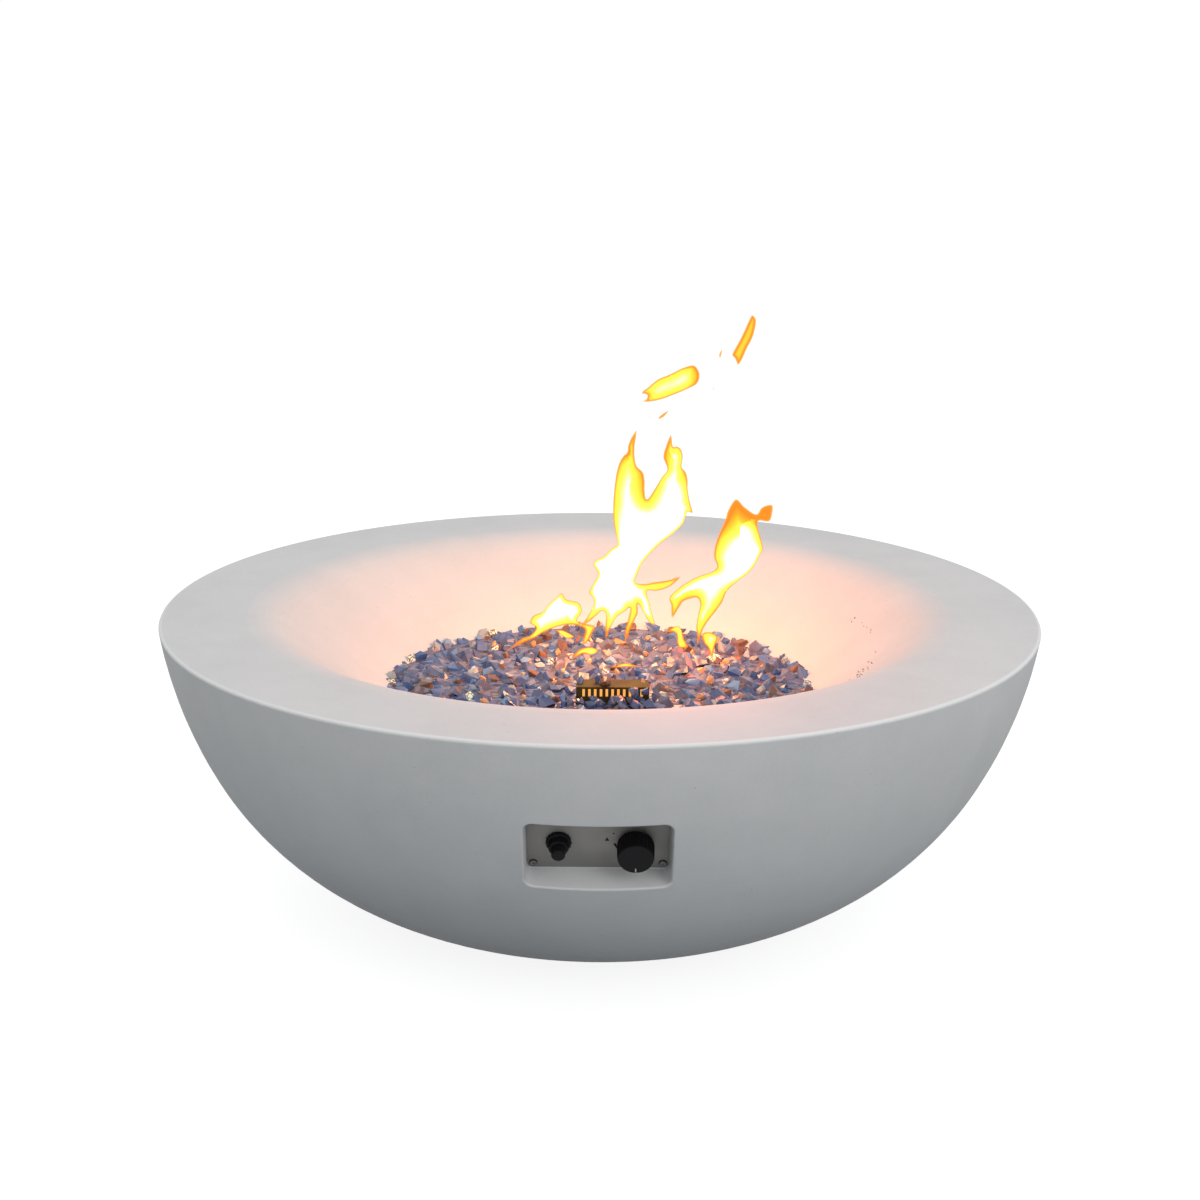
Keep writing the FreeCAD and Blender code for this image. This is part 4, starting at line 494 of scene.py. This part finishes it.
def rib_recipe():
    """Ribs round an axis: one leaning bar, turned about Z and set on its seat."""
    r = Recipe("ribs", count=24, radius=0.01, thick=0.0005, length=0.01, start=0.0, lean=0.0,
               turn=(0.0, 0.0, 0.0), seat=(0.0, 0.0, 0.0))
    bar = r.node("GeometryNodeMeshCylinder", {"fill_type": "TRIANGLE_FAN"},
                 {"Vertices": 8, "Radius": r.value("thick"), "Depth": r.value("length")}, output="Mesh")
    middle = r.value("start") + r.value("length") * 0.5
    beside = r.node("ShaderNodeCombineXYZ", None, {"X": r.value("radius"), "Z": middle})
    leaning = r.node("ShaderNodeCombineXYZ", None, {"Y": r.value("lean")})
    first = r.node("GeometryNodeTransform", None,
                   {"Geometry": bar, "Translation": beside, "Rotation": leaning})
    spots = r.node("GeometryNodeMeshLine", None, {"Count": r.value("count"), "Offset": (0.0, 0.0, 0.0)})
    angle = r.node("GeometryNodeInputIndex") * math.tau / r.value("count")
    turned_by = r.node("ShaderNodeCombineXYZ", None, {"Z": angle})
    ring = r.node("GeometryNodeInstanceOnPoints", None,
                  {"Points": spots, "Instance": first, "Rotation": turned_by})
    seated = r.node("GeometryNodeTransform", None,
                    {"Geometry": ring, "Translation": r.value("seat"), "Rotation": r.value("turn")})
    return r.finish_with(seated)


def thread_recipe():
    """Thread crests: rings stacked along Z at a pitch."""
    r = Recipe("threads", count=10, pitch=0.0014, radius=0.008, thick=0.0004, seat=(0.0, 0.0, 0.0))
    path = r.node("GeometryNodeCurvePrimitiveCircle", None, {"Resolution": 40, "Radius": r.value("radius")})
    profile = r.node("GeometryNodeCurvePrimitiveCircle", None, {"Resolution": 6, "Radius": r.value("thick")})
    ring = r.node("GeometryNodeCurveToMesh", None, {"Curve": path, "Profile Curve": profile})
    step = r.node("ShaderNodeCombineXYZ", None, {"Z": r.value("pitch")})
    spots = r.node("GeometryNodeMeshLine", None,
                   {"Count": r.value("count"), "Start Location": r.value("seat"), "Offset": step})
    stack = r.node("GeometryNodeInstanceOnPoints", None, {"Points": spots, "Instance": ring})
    return r.finish_with(stack)


# ---- the fire glass ----

CHIP_SEAT = -3 * MM  # all chips of the bed lie this much deeper
BED_OVERLAP = 2 * MM


def landing_surface():
    """What the chips land on: the bowl's own surface, the hood and a level bed."""
    joined = bmesh.new()
    for name in ("bowl_shell", "pilot_hood"):
        joined.from_mesh(frame["nodes"][name].data)
    level = Matrix.Translation((0, 0, bed_z))
    bmesh.ops.create_circle(joined, cap_ends=True, segments=ROUND_STEPS, radius=bed_radius + 5 * MM,
                            matrix=level)
    mesh = bpy.data.meshes.new("landing")
    joined.to_mesh(mesh)
    joined.free()
    return in_scene("landing", mesh)


def make_fire_glass():
    """The bed of loose chips, the chips heaped about the hood, and crumbs on the dish."""
    landing = landing_surface()
    chips = chip_recipe()

    def spread(name, kind, **sizes):
        chips.grow(name, "bowl", "fire_glass", CHIP_FINISHES[kind], landing=landing, **sizes)

    def field(left, right, front, back):
        """The oblong that chips are kept to."""
        return {"field_low": Vector((left, front, 0)), "field_high": Vector((right, back, 0))}

    hood_margin = Vector((11, 11, 0)) * MM
    gap = {"gap_low": hood_low - hood_margin, "gap_high": hood_high + hood_margin}
    beds = [
        # kind, length, spacing, seed, how far its chips are sunk and lifted, in lengths
        ("slate", 0.0320, 0.0180, 1, -0.30, -0.02),
        ("mauve", 0.0300, 0.0210, 2, -0.26, 0.06),
        ("cobalt", 0.0280, 0.0270, 3, -0.20, 0.10),
        ("sky", 0.0220, 0.0450, 4, 0.0, 0.22),
        ("copper", 0.0300, 0.0430, 5, -0.16, 0.12),
        ("clear", 0.0230, 0.0450, 6, 0.0, 0.22),
        ("crackle", 0.0260, 0.0850, 7, 0.02, 0.2),
    ]
    for kind, length, spacing, seed, sink, lift in beds:
        spread(f"glass_{kind}", kind, length=length, spacing=spacing, seed=seed,
               sink=sink + CHIP_SEAT / length, lift=lift + CHIP_SEAT / length,
               outer=bed_radius + BED_OVERLAP, **gap)
    # Painted glint: a few orange chips in the middle stand for the fire's light on the bed.
    spread("glass_amber", "painted_fire_glint", length=0.015, spacing=0.05, seed=24, sink=0.1, lift=0.45,
           **field(-0.17, 0.19, -0.2, 0.2))

    left, right, front, back = hood_low.x, hood_high.x, hood_low.y, hood_high.y
    lid = field(left - 0.004, left + 0.04, front + 0.009, back + 0.008)
    for kind, seed in (("copper", 28), ("slate", 29)):
        spread(f"lid_{kind}", kind, length=0.021, spacing=0.019, seed=seed, sink=0.15, lift=0.3, **lid)
    banks = [
        # name, length, seed beyond the kind's own, sink, lift, field before the hood
        ("bank", 0.021, 0, 0.2, 0.5, field(left + 0.046, right + 0.012, front - 0.03, front - 0.007)),
        ("heap", 0.022, 20, 0.65, 1.1, field(left + 0.058, right + 0.016, front - 0.024, front - 0.008)),
        ("kerb", 0.02, 30, 0.15, 0.5, field(left - 0.014, left + 0.056, front - 0.03, front - 0.008)),
    ]
    for kind, seed in (("slate", 18), ("mauve", 19)):
        for name, length, further, sink, lift, place in banks:
            spread(f"{name}_{kind}", kind, length=length, spacing=0.0125, seed=seed + further, sink=sink,
                   lift=lift, **place)
    spread("glass_crumbs", "clear", length=0.0035, spacing=0.0045, seed=8, sink=0.15, lift=0.3, bare=0.56,
           inner=bed_radius + 4 * MM, outer=bed_radius + 0.085, field_low=Vector((0.1, -1, 0)))
    bpy.data.objects.remove(landing)


# ---- the controls: marks and painted shade in millimetres ----

KNOB_TAPER = math.atan(0.7 / 21.3)
PLATE_FACE, MARK_THICKNESS = 1.5, 0.06
SCREW_SHADE_OUTER, SCREW_SHADE_INNER = 4.4, 3.6
BAND_RADIUS, BAND_WIDE, BAND_NARROWER = 20.2, 2.9, 2.2


def make_control_details():
    """Ribs round the knob, the igniter's cap and its nut."""
    ribs = rib_recipe()
    black = FINISHES["black_plastic"]
    on_igniter = {"seat": igniter_seat, "turn": panel_turn}
    ribs.grow("knob_ribs", "knob", "black_plastic", black, seat=knob_seat, turn=panel_turn, count=40,
              radius=18.58 * MM, thick=0.7 * MM, length=18.5 * MM, start=8.5 * MM, lean=-KNOB_TAPER)
    ribs.grow("cap_ribs", "bowl", "black_plastic", black, count=26, radius=9.85 * MM, thick=0.45 * MM,
              length=6.6 * MM, start=7.2 * MM, **on_igniter)
    ribs.grow("nut_ribs", "bowl", "black_plastic", black, count=18, radius=12.75 * MM, thick=0.6 * MM,
              length=3.8 * MM, start=2.1 * MM, **on_igniter)


def arc(middle, radii, start, turn, steps):
    """Points along an arc whose radius goes evenly from the first of two to the second."""
    points = []
    for step in range(steps + 1):
        share = step / steps
        angle = start + turn * share
        radius = radii[0] + (radii[1] - radii[0]) * share
        points.append((middle[0] + radius * math.cos(angle), middle[1] + radius * math.sin(angle)))
    return points


def flat_print_or_painted_shade(name, outline):
    """A flat sheet on the plate, for a printed mark or for painted shade: its outline in millimetres about the
    knob's axis.
    """
    shape = bmesh.new()
    corners = [on_panel(knob_seat, right, up, PLATE_FACE) for right, up in outline]
    face = shape.faces.new([shape.verts.new(corner) for corner in corners])
    raised = bmesh.ops.extrude_face_region(shape, geom=[face])["geom"]
    for vertex in (item for item in raised if isinstance(item, bmesh.types.BMVert)):
        vertex.co += panel_out * MARK_THICKNESS * MM
    belongs(closed_piece(name, shape, FINISHES["black_plastic"]), "bowl")


def screw_seats():
    """The plate screws' middles on the panel's axes, in millimetres from the knob's seat."""
    corners = {}
    for vertex in frame["nodes"]["plate_screws"].data.vertices:
        offset = (vertex.co - knob_seat) / MM
        right, up = offset.dot(panel_right), offset.dot(panel_up)
        corners.setdefault((right > -knob_seat.x / MM, up > 0), []).append((right, up))
    return [tuple((min(values) + max(values)) / 2 for values in zip(*spots)) for spots in corners.values()]


def make_plate_marks():
    """Plain setting marks beside the knob: a pointer, a dot and a narrowing band. Painted shade round the screws:
    thin dark rings.
    """
    flat_print_or_painted_shade("mark_pointer", [(-31.8, 0.9), (-27.0, 0.9), (-29.4, 5.6)])
    flat_print_or_painted_shade("mark_dot", arc((-22.6, 10.8), (1.0, 1.0), 0.0, math.tau, 12)[:-1])
    # Painted shade: a thin dark ring round each plate screw stands for the shadow there.
    for seat in screw_seats():
        outer, inner = (arc(seat, (radius, radius), 0.0, math.tau * 0.98, 24)
                        for radius in (SCREW_SHADE_OUTER, SCREW_SHADE_INNER))
        flat_print_or_painted_shade("screw_shade", outer + inner[::-1])
    start, turn = math.radians(187), math.radians(26)
    widths = (BAND_RADIUS + BAND_WIDE, BAND_RADIUS + BAND_WIDE - BAND_NARROWER)
    outer = arc((0.0, 0.0), widths, start, turn, 10)
    inner = arc((0.0, 0.0), (BAND_RADIUS, BAND_RADIUS), start, turn, 10)
    flat_print_or_painted_shade("mark_band", outer + inner[::-1])


def make_inlet_threads():
    """The crests of the inlet fitting's free thread."""
    low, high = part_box("inlet_fitting")
    middle = (low + high) / 2
    thread_recipe().grow("inlet_threads", "bowl", "brass", FINISHES["brass"], count=12, pitch=1.41 * MM,
                         radius=7.6 * MM, thick=0.45 * MM, seat=(middle.x, middle.y, low.z + 1.2 * MM))


# ---- the return springs, as coils ----

WIRE_RADIUS, WIRE_SIDES = 0.45, 8  # the radius in millimetres
COILS, STEPS_A_COIL = 5, 24


def make_spring(node, seat, radius, low, high):
    """A coil on the panel's normal, in millimetres."""
    shape = bmesh.new()
    rings = []
    steps = COILS * STEPS_A_COIL
    for step in range(steps + 1):
        angle = math.tau * step / STEPS_A_COIL
        outward = panel_right * math.cos(angle) + panel_up * math.sin(angle)
        height = low + WIRE_RADIUS + (high - low - 2 * WIRE_RADIUS) * step / steps
        middle = seat + (outward * radius + panel_out * height) * MM
        ring = []
        for side in range(WIRE_SIDES):
            around = math.tau * side / WIRE_SIDES
            offset = outward * math.cos(around) + panel_out * math.sin(around)
            ring.append(shape.verts.new(middle + offset * WIRE_RADIUS * MM))
        rings.append(ring)
    for ring, after in zip(rings, rings[1:]):
        for side in range(WIRE_SIDES):
            following = (side + 1) % WIRE_SIDES
            shape.faces.new((ring[side], ring[following], after[following], after[side]))
    shape.faces.new(rings[0][::-1])
    shape.faces.new(rings[-1])
    for face in shape.faces:
        face.smooth = True
    coil = closed_piece(f"{node}_coil", shape, FINISHES["spring_steel"])
    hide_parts(node)
    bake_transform(coil)


def make_springs():
    """The return springs of the knob's spindle and of the igniter's button."""
    make_spring("valve_spring", knob_seat, 4.6, -14.3, -4.3)
    make_spring("igniter_spring", igniter_seat, 6.0, -5.0, 8.2)


# ---- the flames: light, not part of the bowl ----

VIEW_WIDTH = 1200
CAMERA_PLACE = Vector((0.0, -2.4148, 1.0151))
CAMERA_PITCH = math.radians(14.855)
CAMERA_ROLL = math.radians(0.4)
LENS, SENSOR = 60.8, 36.0


def add_camera():
    """The one view, from the front and a little above."""
    camera = in_scene("camera", bpy.data.cameras.new("camera"))
    camera.data.lens = LENS
    camera.data.sensor_width = SENSOR
    camera.location = CAMERA_PLACE
    level = Euler((math.pi / 2 - CAMERA_PITCH, 0, 0)).to_matrix()
    camera.rotation_euler = (level @ Euler((0, 0, CAMERA_ROLL)).to_matrix()).to_euler()
    bpy.context.scene.camera = camera


def seen_at(across, down, depth):
    """The point on the upright plane y = depth that the camera sees at a pixel of its frame."""
    centre = VIEW_WIDTH / 2
    focal = LENS / SENSOR * VIEW_WIDTH
    ray = Vector((across - centre, -(down - centre), -focal))
    ray.rotate(bpy.context.scene.camera.rotation_euler)
    return CAMERA_PLACE + ray * ((depth - CAMERA_PLACE.y) / ray.y)


# Each flame: its depth, then its outline in pixels of the camera's frame, with its coloured edge's width.
FLAMES = [
    # the tall flame
    (0.10, [(637, 430, 9), (635, 446, 7), (635, 457, 6), (637, 466, 6), (643, 472, 9), (645, 480, 9),
            (645, 491, 8), (647, 499, 6), (655, 488, 5), (661, 478, 4), (667, 470, 4), (665, 463, 7),
            (663, 457, 9), (665, 448, 9), (671, 434, 8), (673, 446, 5), (677, 446, 5), (681, 449, 5),
            (683, 456, 4), (682, 467, 4), (686, 472, 7), (688, 480, 6), (688, 489, 4), (690, 501, 4),
            (693, 513, 5), (688, 512, 3), (686, 516, 2), (683, 524, 2), (673, 534, 2), (661, 543, 2),
            (650, 554, 2), (642, 564, 2), (637, 575, 2), (635, 582, 2), (643, 584, 4), (655, 582, 5),
            (668, 580, 5), (681, 576, 5), (677, 581, 5), (669, 587, 4), (657, 591, 4), (647, 591, 3),
            (649, 601, 2), (652, 613, 2), (655, 624, 3), (651, 624, 3), (647, 619, 3), (643, 612, 2),
            (638, 604, 4), (638, 613, 5), (635, 620, 5), (631, 628, 5), (625, 643, 6), (625, 630, 5),
            (628, 619, 5), (630, 608, 4), (624, 612, 3), (618, 616, 3), (613, 623, 3), (609, 632, 5),
            (606, 640, 6), (605, 628, 5), (606, 615, 3), (602, 611, 3), (596, 616, 4), (589, 622, 5),
            (579, 628, 5), (585, 620, 4), (590, 612, 3), (594, 604, 2), (593, 598, 2), (589, 593, 3),
            (592, 586, 2), (596, 579, 2), (598, 574, 2), (596, 569, 2), (593, 565, 2), (596, 560, 2),
            (604, 556, 2), (611, 549, 2), (617, 545, 2), (617, 540, 2), (615, 531, 3), (613, 518, 4),
            (613, 503, 5), (614, 489, 5), (616, 474, 6), (619, 463, 7), (623, 456, 9), (627, 452, 10),
            (628, 445, 8), (632, 436, 8)]),
    # the low flame on the left
    (0.06, [(562, 593, 3), (566, 599, 3), (573, 601, 3), (579, 603, 3), (582, 609, 3), (581, 614, 3),
            (577, 620, 3), (583, 623, 5), (595, 626, 5), (593, 632, 5), (587, 643, 5), (582, 643, 5),
            (585, 631, 5), (581, 627, 5), (572, 625, 5), (561, 626, 4), (552, 629, 4), (543, 633, 4),
            (535, 638, 4), (525, 642, 5), (505, 652, 6), (513, 645, 6), (522, 638, 5), (530, 635, 4),
            (536, 628, 3), (530, 623, 4), (533, 616, 4), (540, 613, 3), (544, 611, 2), (547, 606, 2),
            (553, 600, 2), (558, 596, 2)]),
    # the flame on the right, whose crown has no white in it
    (0.11, [(736, 499, 20), (745, 507, 20), (756, 514, 20), (761, 508, 22), (767, 505, 22), (773, 506, 22),
            (770, 521, 22), (759, 521, 12), (758, 527, 5), (761, 538, 4), (763, 549, 3), (759, 557, 2),
            (752, 569, 2), (742, 578, 2), (732, 586, 3), (726, 593, 4), (723, 601, 5), (717, 610, 5),
            (710, 619, 5), (704, 628, 5), (700, 639, 6), (695, 650, 7), (687, 666, 7), (690, 657, 7),
            (695, 647, 7), (697, 638, 6), (696, 627, 4), (698, 615, 3), (700, 604, 4), (697, 598, 5),
            (690, 599, 6), (683, 602, 6), (679, 608, 6), (672, 618, 6), (671, 605, 5), (669, 599, 4),
            (672, 594, 3), (680, 587, 3), (689, 581, 3), (699, 576, 3), (711, 572, 3), (717, 567, 4),
            (714, 557, 5), (715, 546, 6), (719, 534, 8), (725, 520, 14), (728, 510, 20)]),
    # small flames between the chips
    (0.05, [(557, 631, 3), (563, 630, 3), (574, 636, 3), (572, 638, 3), (565, 638, 3)]),
    (0.05, [(572, 659, 5), (576, 652, 5), (582, 648, 4), (591, 647, 3), (598, 650, 3), (595, 654, 3),
            (590, 655, 3), (583, 654, 4)]),
    (0.07, [(664, 634, 5), (671, 628, 4), (678, 626, 3), (682, 630, 3), (684, 638, 4), (688, 647, 5),
            (680, 648, 4), (677, 643, 4), (676, 634, 4), (670, 632, 5)]),
    (0.08, [(702, 634, 5), (710, 632, 4), (717, 637, 3), (715, 646, 4), (712, 659, 6), (708, 648, 4),
            (704, 643, 4)]),
    (-0.05, [(612, 668, 3), (625, 663, 3), (641, 667, 4), (625, 667, 3)]),
    # what has broken loose above
    (0.10, [(641, 393, 7), (648, 387, 5), (658, 379, 5), (670, 374, 5), (682, 368, 5), (693, 365, 8),
            (698, 369, 10), (700, 376, 10), (697, 384, 9), (688, 389, 5), (674, 395, 5), (660, 400, 5),
            (649, 402, 6), (641, 402, 7), (646, 399, 7), (647, 395, 7)]),
    (0.10, [(752, 315, 9), (756, 319, 9), (756, 325, 9), (753, 337, 9), (747, 349, 9), (742, 360, 9),
            (738, 365, 9), (735, 359, 9), (732, 355, 9), (734, 350, 9), (739, 341, 9), (744, 331, 9),
            (748, 322, 9)]),
    (0.10, [(722, 349, 9), (722, 353, 9), (720, 359, 9), (719, 354, 9)]),
    (0.10, [(658, 418, 9), (662, 414, 9), (669, 410, 9), (665, 416, 9), (660, 419, 9)]),
    (0.10, [(713, 391, 9), (713, 388, 9), (715, 387, 9)]),
    (0.10, [(649, 417, 9), (650, 416, 9), (651, 419, 9)]),
]
# In pixels, how far a flame's middle stands out and over what depth it gets there; then how far
# the flames sway forward and back, and the pixels of height to each radian of it.
FLAME_BULGE, FLAME_ROUNDING = 22.0, 10.0
FLAME_SWAY, SWAY_LENGTH = 14 * MM, 31.0
FINEST_GRID, COARSEST_GRID, GRID_COLUMNS = 0.4, 1.5, 40


def closed_line(knots, longest=0.5):
    """Catmull-Rom points round a closed outline."""
    line = []
    for index, b in enumerate(knots):
        a, c, d = knots[index - 1], knots[(index + 1) % len(knots)], knots[(index + 2) % len(knots)]
        steps = math.ceil((c - b).length / longest)
        for step in range(steps):
            t = step / steps
            line.append(0.5 * (2 * b + (c - a) * t + (2 * a - 5 * b + 4 * c - d) * t * t
                               + (3 * b - a - 3 * c + d) * t * t * t))
    return line


def flame_field(outline):
    """A grid over the outline: each spot, how far inside it lies, and how wide the coloured edge is there."""
    line = closed_line([Vector(knot) for knot in outline])
    tree = kdtree.KDTree(len(line))
    for index, point in enumerate(line):
        tree.insert((point.x, point.y, 0), index)
    tree.balance()
    left, right = min(p.x for p in line), max(p.x for p in line)
    top, bottom = min(p.y for p in line), max(p.y for p in line)
    step = min(COARSEST_GRID, max(FINEST_GRID, (right - left) / GRID_COLUMNS))
    field = {}
    for row in range(-1, math.ceil((bottom - top) / step) + 2):
        down = top + row * step
        crossings = [a.x + (b.x - a.x) * (down - a.y) / (b.y - a.y)
                     for a, b in zip(line, line[1:] + line[:1]) if (a.y > down) != (b.y > down)]
        for column in range(-1, math.ceil((right - left) / step) + 2):
            across = left + column * step
            index, distance = tree.find((across, down, 0))[1:]
            inside = sum(crossing < across for crossing in crossings) % 2
            field[column, row] = (across, down, distance if inside else -distance, line[index].z)
    return field


def add_layer(shape, field, depth, share):
    """The part of a flame deeper than a share of its edge: two bulging faces, closed at the rim."""
    middle, height = VIEW_WIDTH // 2, 500
    pixel = (seen_at(middle + 1, height, depth) - seen_at(middle, height, depth)).length
    worth = {key: inside - share * edge for key, (across, down, inside, edge) in field.items()}
    made = {}

    def corner(first, second, side):
        if first == second:
            across, down = field[first][:2]
            bulge = FLAME_BULGE * (1 - math.exp(-worth[first] / FLAME_ROUNDING)) * pixel
        else:
            part = worth[first] / (worth[first] - worth[second])
            across, down = (a + (b - a) * part for a, b in zip(field[first][:2], field[second][:2]))
            bulge = side = 0
        key = (first, second, side)
        if key not in made:
            sway = FLAME_SWAY * math.sin(down / SWAY_LENGTH)
            made[key] = shape.verts.new(seen_at(across, down, depth + sway + side * bulge))
        return made[key]

    for column, row in field:
        square = [(column, row), (column + 1, row), (column + 1, row + 1), (column, row + 1)]
        if any(key not in field for key in square):
            continue
        for triangle in (square[:3], [square[0], square[2], square[3]]):
            ends = []
            for here, ahead in zip(triangle, triangle[1:] + triangle[:1]):
                if worth[here] > 0:
                    ends.append((here, here))
                if (worth[here] > 0) != (worth[ahead] > 0):
                    ends.append(tuple(sorted((here, ahead))))
            if len(ends) > 2:
                shape.faces.new([corner(*end, -1) for end in ends])
                shape.faces.new([corner(*end, 1) for end in reversed(ends)])


def burn(name, shape, finish):
    """Burning gas in a shape: seen by the camera, and no part of the bowl."""
    flame = closed_piece(name, shape, finish)
    flame.visible_diffuse = flame.visible_glossy = flame.visible_transmission = flame.visible_shadow = False


def burn_layer(name, fields, share, finish):
    """One layer of all the flames, from a share of their coloured edges inward."""
    shape = bmesh.new()
    for depth, field in fields:
        add_layer(shape, field, depth, share)
    burn(name, shape, finish)


def glowing_gas(name, glow, strength, clear=(1.0, 1.0, 1.0), density=0.0):
    """Gas that glows by itself and filters what is behind it."""
    f = Finish(name)
    absorb = f.node("ShaderNodeVolumeAbsorption", None, {"Color": rgba(clear), "Density": density})
    shine = f.node("ShaderNodeEmission", None, {"Color": rgba(glow), "Strength": strength})
    both = f.node("ShaderNodeAddShader", None, {0: absorb, 1: shine})
    f.show(both, "Volume")
    return f.material


def make_flames():
    """The flames in three layers, orange round yellow round white, and the pilot flame in the hood."""
    fields = [(depth, flame_field(outline)) for depth, outline in FLAMES]
    orange = glowing_gas("flame_orange", (1.0, 0.4, 0.05), 230.0, (0.87, 0.35, 0.03), 460.0)
    burn_layer("flame_edge", fields, 0.0, orange)
    burn_layer("flame_middle", fields, 0.27, glowing_gas("flame_yellow", (0.3, 1.0, 0.2), 540.0))
    burn_layer("flame_core", fields, 1.1, glowing_gas("flame_white", (1.0, 1.0, 1.0), 6000.0))

    pilot = bmesh.new()
    inside = hood_low + Vector((2, 1.7, 0)) * MM, hood_high - Vector((2, 0, 2)) * MM
    size = Vector((inside[1].x - inside[0].x, 6 * MM, 11 * MM))
    middle = Vector((inside[0].x + size.x / 2, inside[0].y + size.y / 2, inside[1].z - size.z / 2))
    bmesh.ops.create_cube(pilot, matrix=Matrix.LocRotScale(middle, None, size))
    burn("pilot_flame", pilot, glowing_gas("pilot_glow", (1.0, 0.42, 0.1), 180.0))


# ---- light, floor and backdrop ----

def add_lamp(name, kind, place, power, colour, size, aim=None):
    """A lamp in watts; an area lamp looks at its aim."""
    lamp = in_scene(name, bpy.data.lights.new(name, kind))
    lamp.location = place
    lamp.data.energy = power
    lamp.data.color = colour
    if kind == "AREA":
        lamp.data.size = size
        lamp.rotation_euler = (Vector(aim) - Vector(place)).to_track_quat("-Z", "Y").to_euler()
    else:
        lamp.data.shadow_soft_size = size


def light_the_scene():
    """The fire's light, as lamps among the flames, and a soft light from the front right."""
    add_lamp("fire_left", "POINT", (-0.04, 0.05, bed_z + 0.1), 0.5, (1.0, 0.26, 0.08), 0.03)
    add_lamp("fire_middle", "POINT", (0.03, 0.08, bed_z + 0.13), 2.6, (1.0, 0.4, 0.1), 0.05)
    add_lamp("fire_right", "POINT", (0.13, 0.08, bed_z + 0.12), 0.85, (1.0, 0.15, 0.03), 0.04)
    add_lamp("fire_front", "POINT", (0.08, -0.33, rim_z + 0.16), 0.7, (1.0, 0.12, 0.02), 0.06)
    add_lamp("soft_box", "AREA", (1.7, -2.8, 1.6), 24.0, (1.0, 1.0, 1.0), 1.6, (0, 0, 0.2))


def seen_directly(f):
    """1 for what the camera, a reflection or a refraction sees, 0 for light on surfaces."""
    path = f.node("ShaderNodeLightPath")
    seen = path.output("Is Camera Ray") + path.output("Is Glossy Ray") + path.output("Is Transmission Ray")
    return seen.math("MINIMUM", seen, 1.0)


def make_surroundings():
    """A white floor that keeps its shadow, and a white world; both give less light than they show."""
    f = Finish("pale_floor")
    dull = f.node("ShaderNodeBsdfDiffuse", None, {"Color": rgba((0.185, 0.21, 0.23))})
    white = f.node("ShaderNodeBsdfDiffuse", None, {"Color": rgba((0.3, 0.3, 0.3))})
    lift = f.node("ShaderNodeEmission", None, {"Color": rgba((1.0, 1.0, 1.0)), "Strength": 0.86})
    bright = f.node("ShaderNodeAddShader", None, {0: white, 1: lift})
    f.show(f.node("ShaderNodeMixShader", None, {0: seen_directly(f), 1: dull, 2: bright}))
    half = 12.0
    corners = [(-half, -half, 0), (half, -half, 0), (half, half, 0), (-half, half, 0)]
    mesh = bpy.data.meshes.new("floor")
    mesh.from_pydata(corners, [], [(0, 1, 2, 3)])
    mesh.materials.append(f.material)
    floor = in_scene("floor", mesh)

    world = bpy.data.worlds.new("studio")
    world.use_nodes = True
    bpy.context.scene.world = world
    g = Graph(world.node_tree)
    backdrop = g.node("ShaderNodeBackground", None, {"Color": rgba((1.0, 1.0, 1.0)), "Strength": 1.03})
    sky = g.node("ShaderNodeBackground", None, {"Color": rgba((0.98, 0.99, 1.0)), "Strength": 0.88})
    chosen = g.node("ShaderNodeMixShader", None, {0: seen_directly(g), 1: sky, 2: backdrop})
    g.node("ShaderNodeOutputWorld", None, {"Surface": chosen})
    bpy.context.scene.view_settings.view_transform = "Standard"


add_camera()
make_fire_glass()
make_control_details()
make_plate_marks()
make_inlet_threads()
make_springs()
make_flames()
light_the_scene()
make_surroundings()
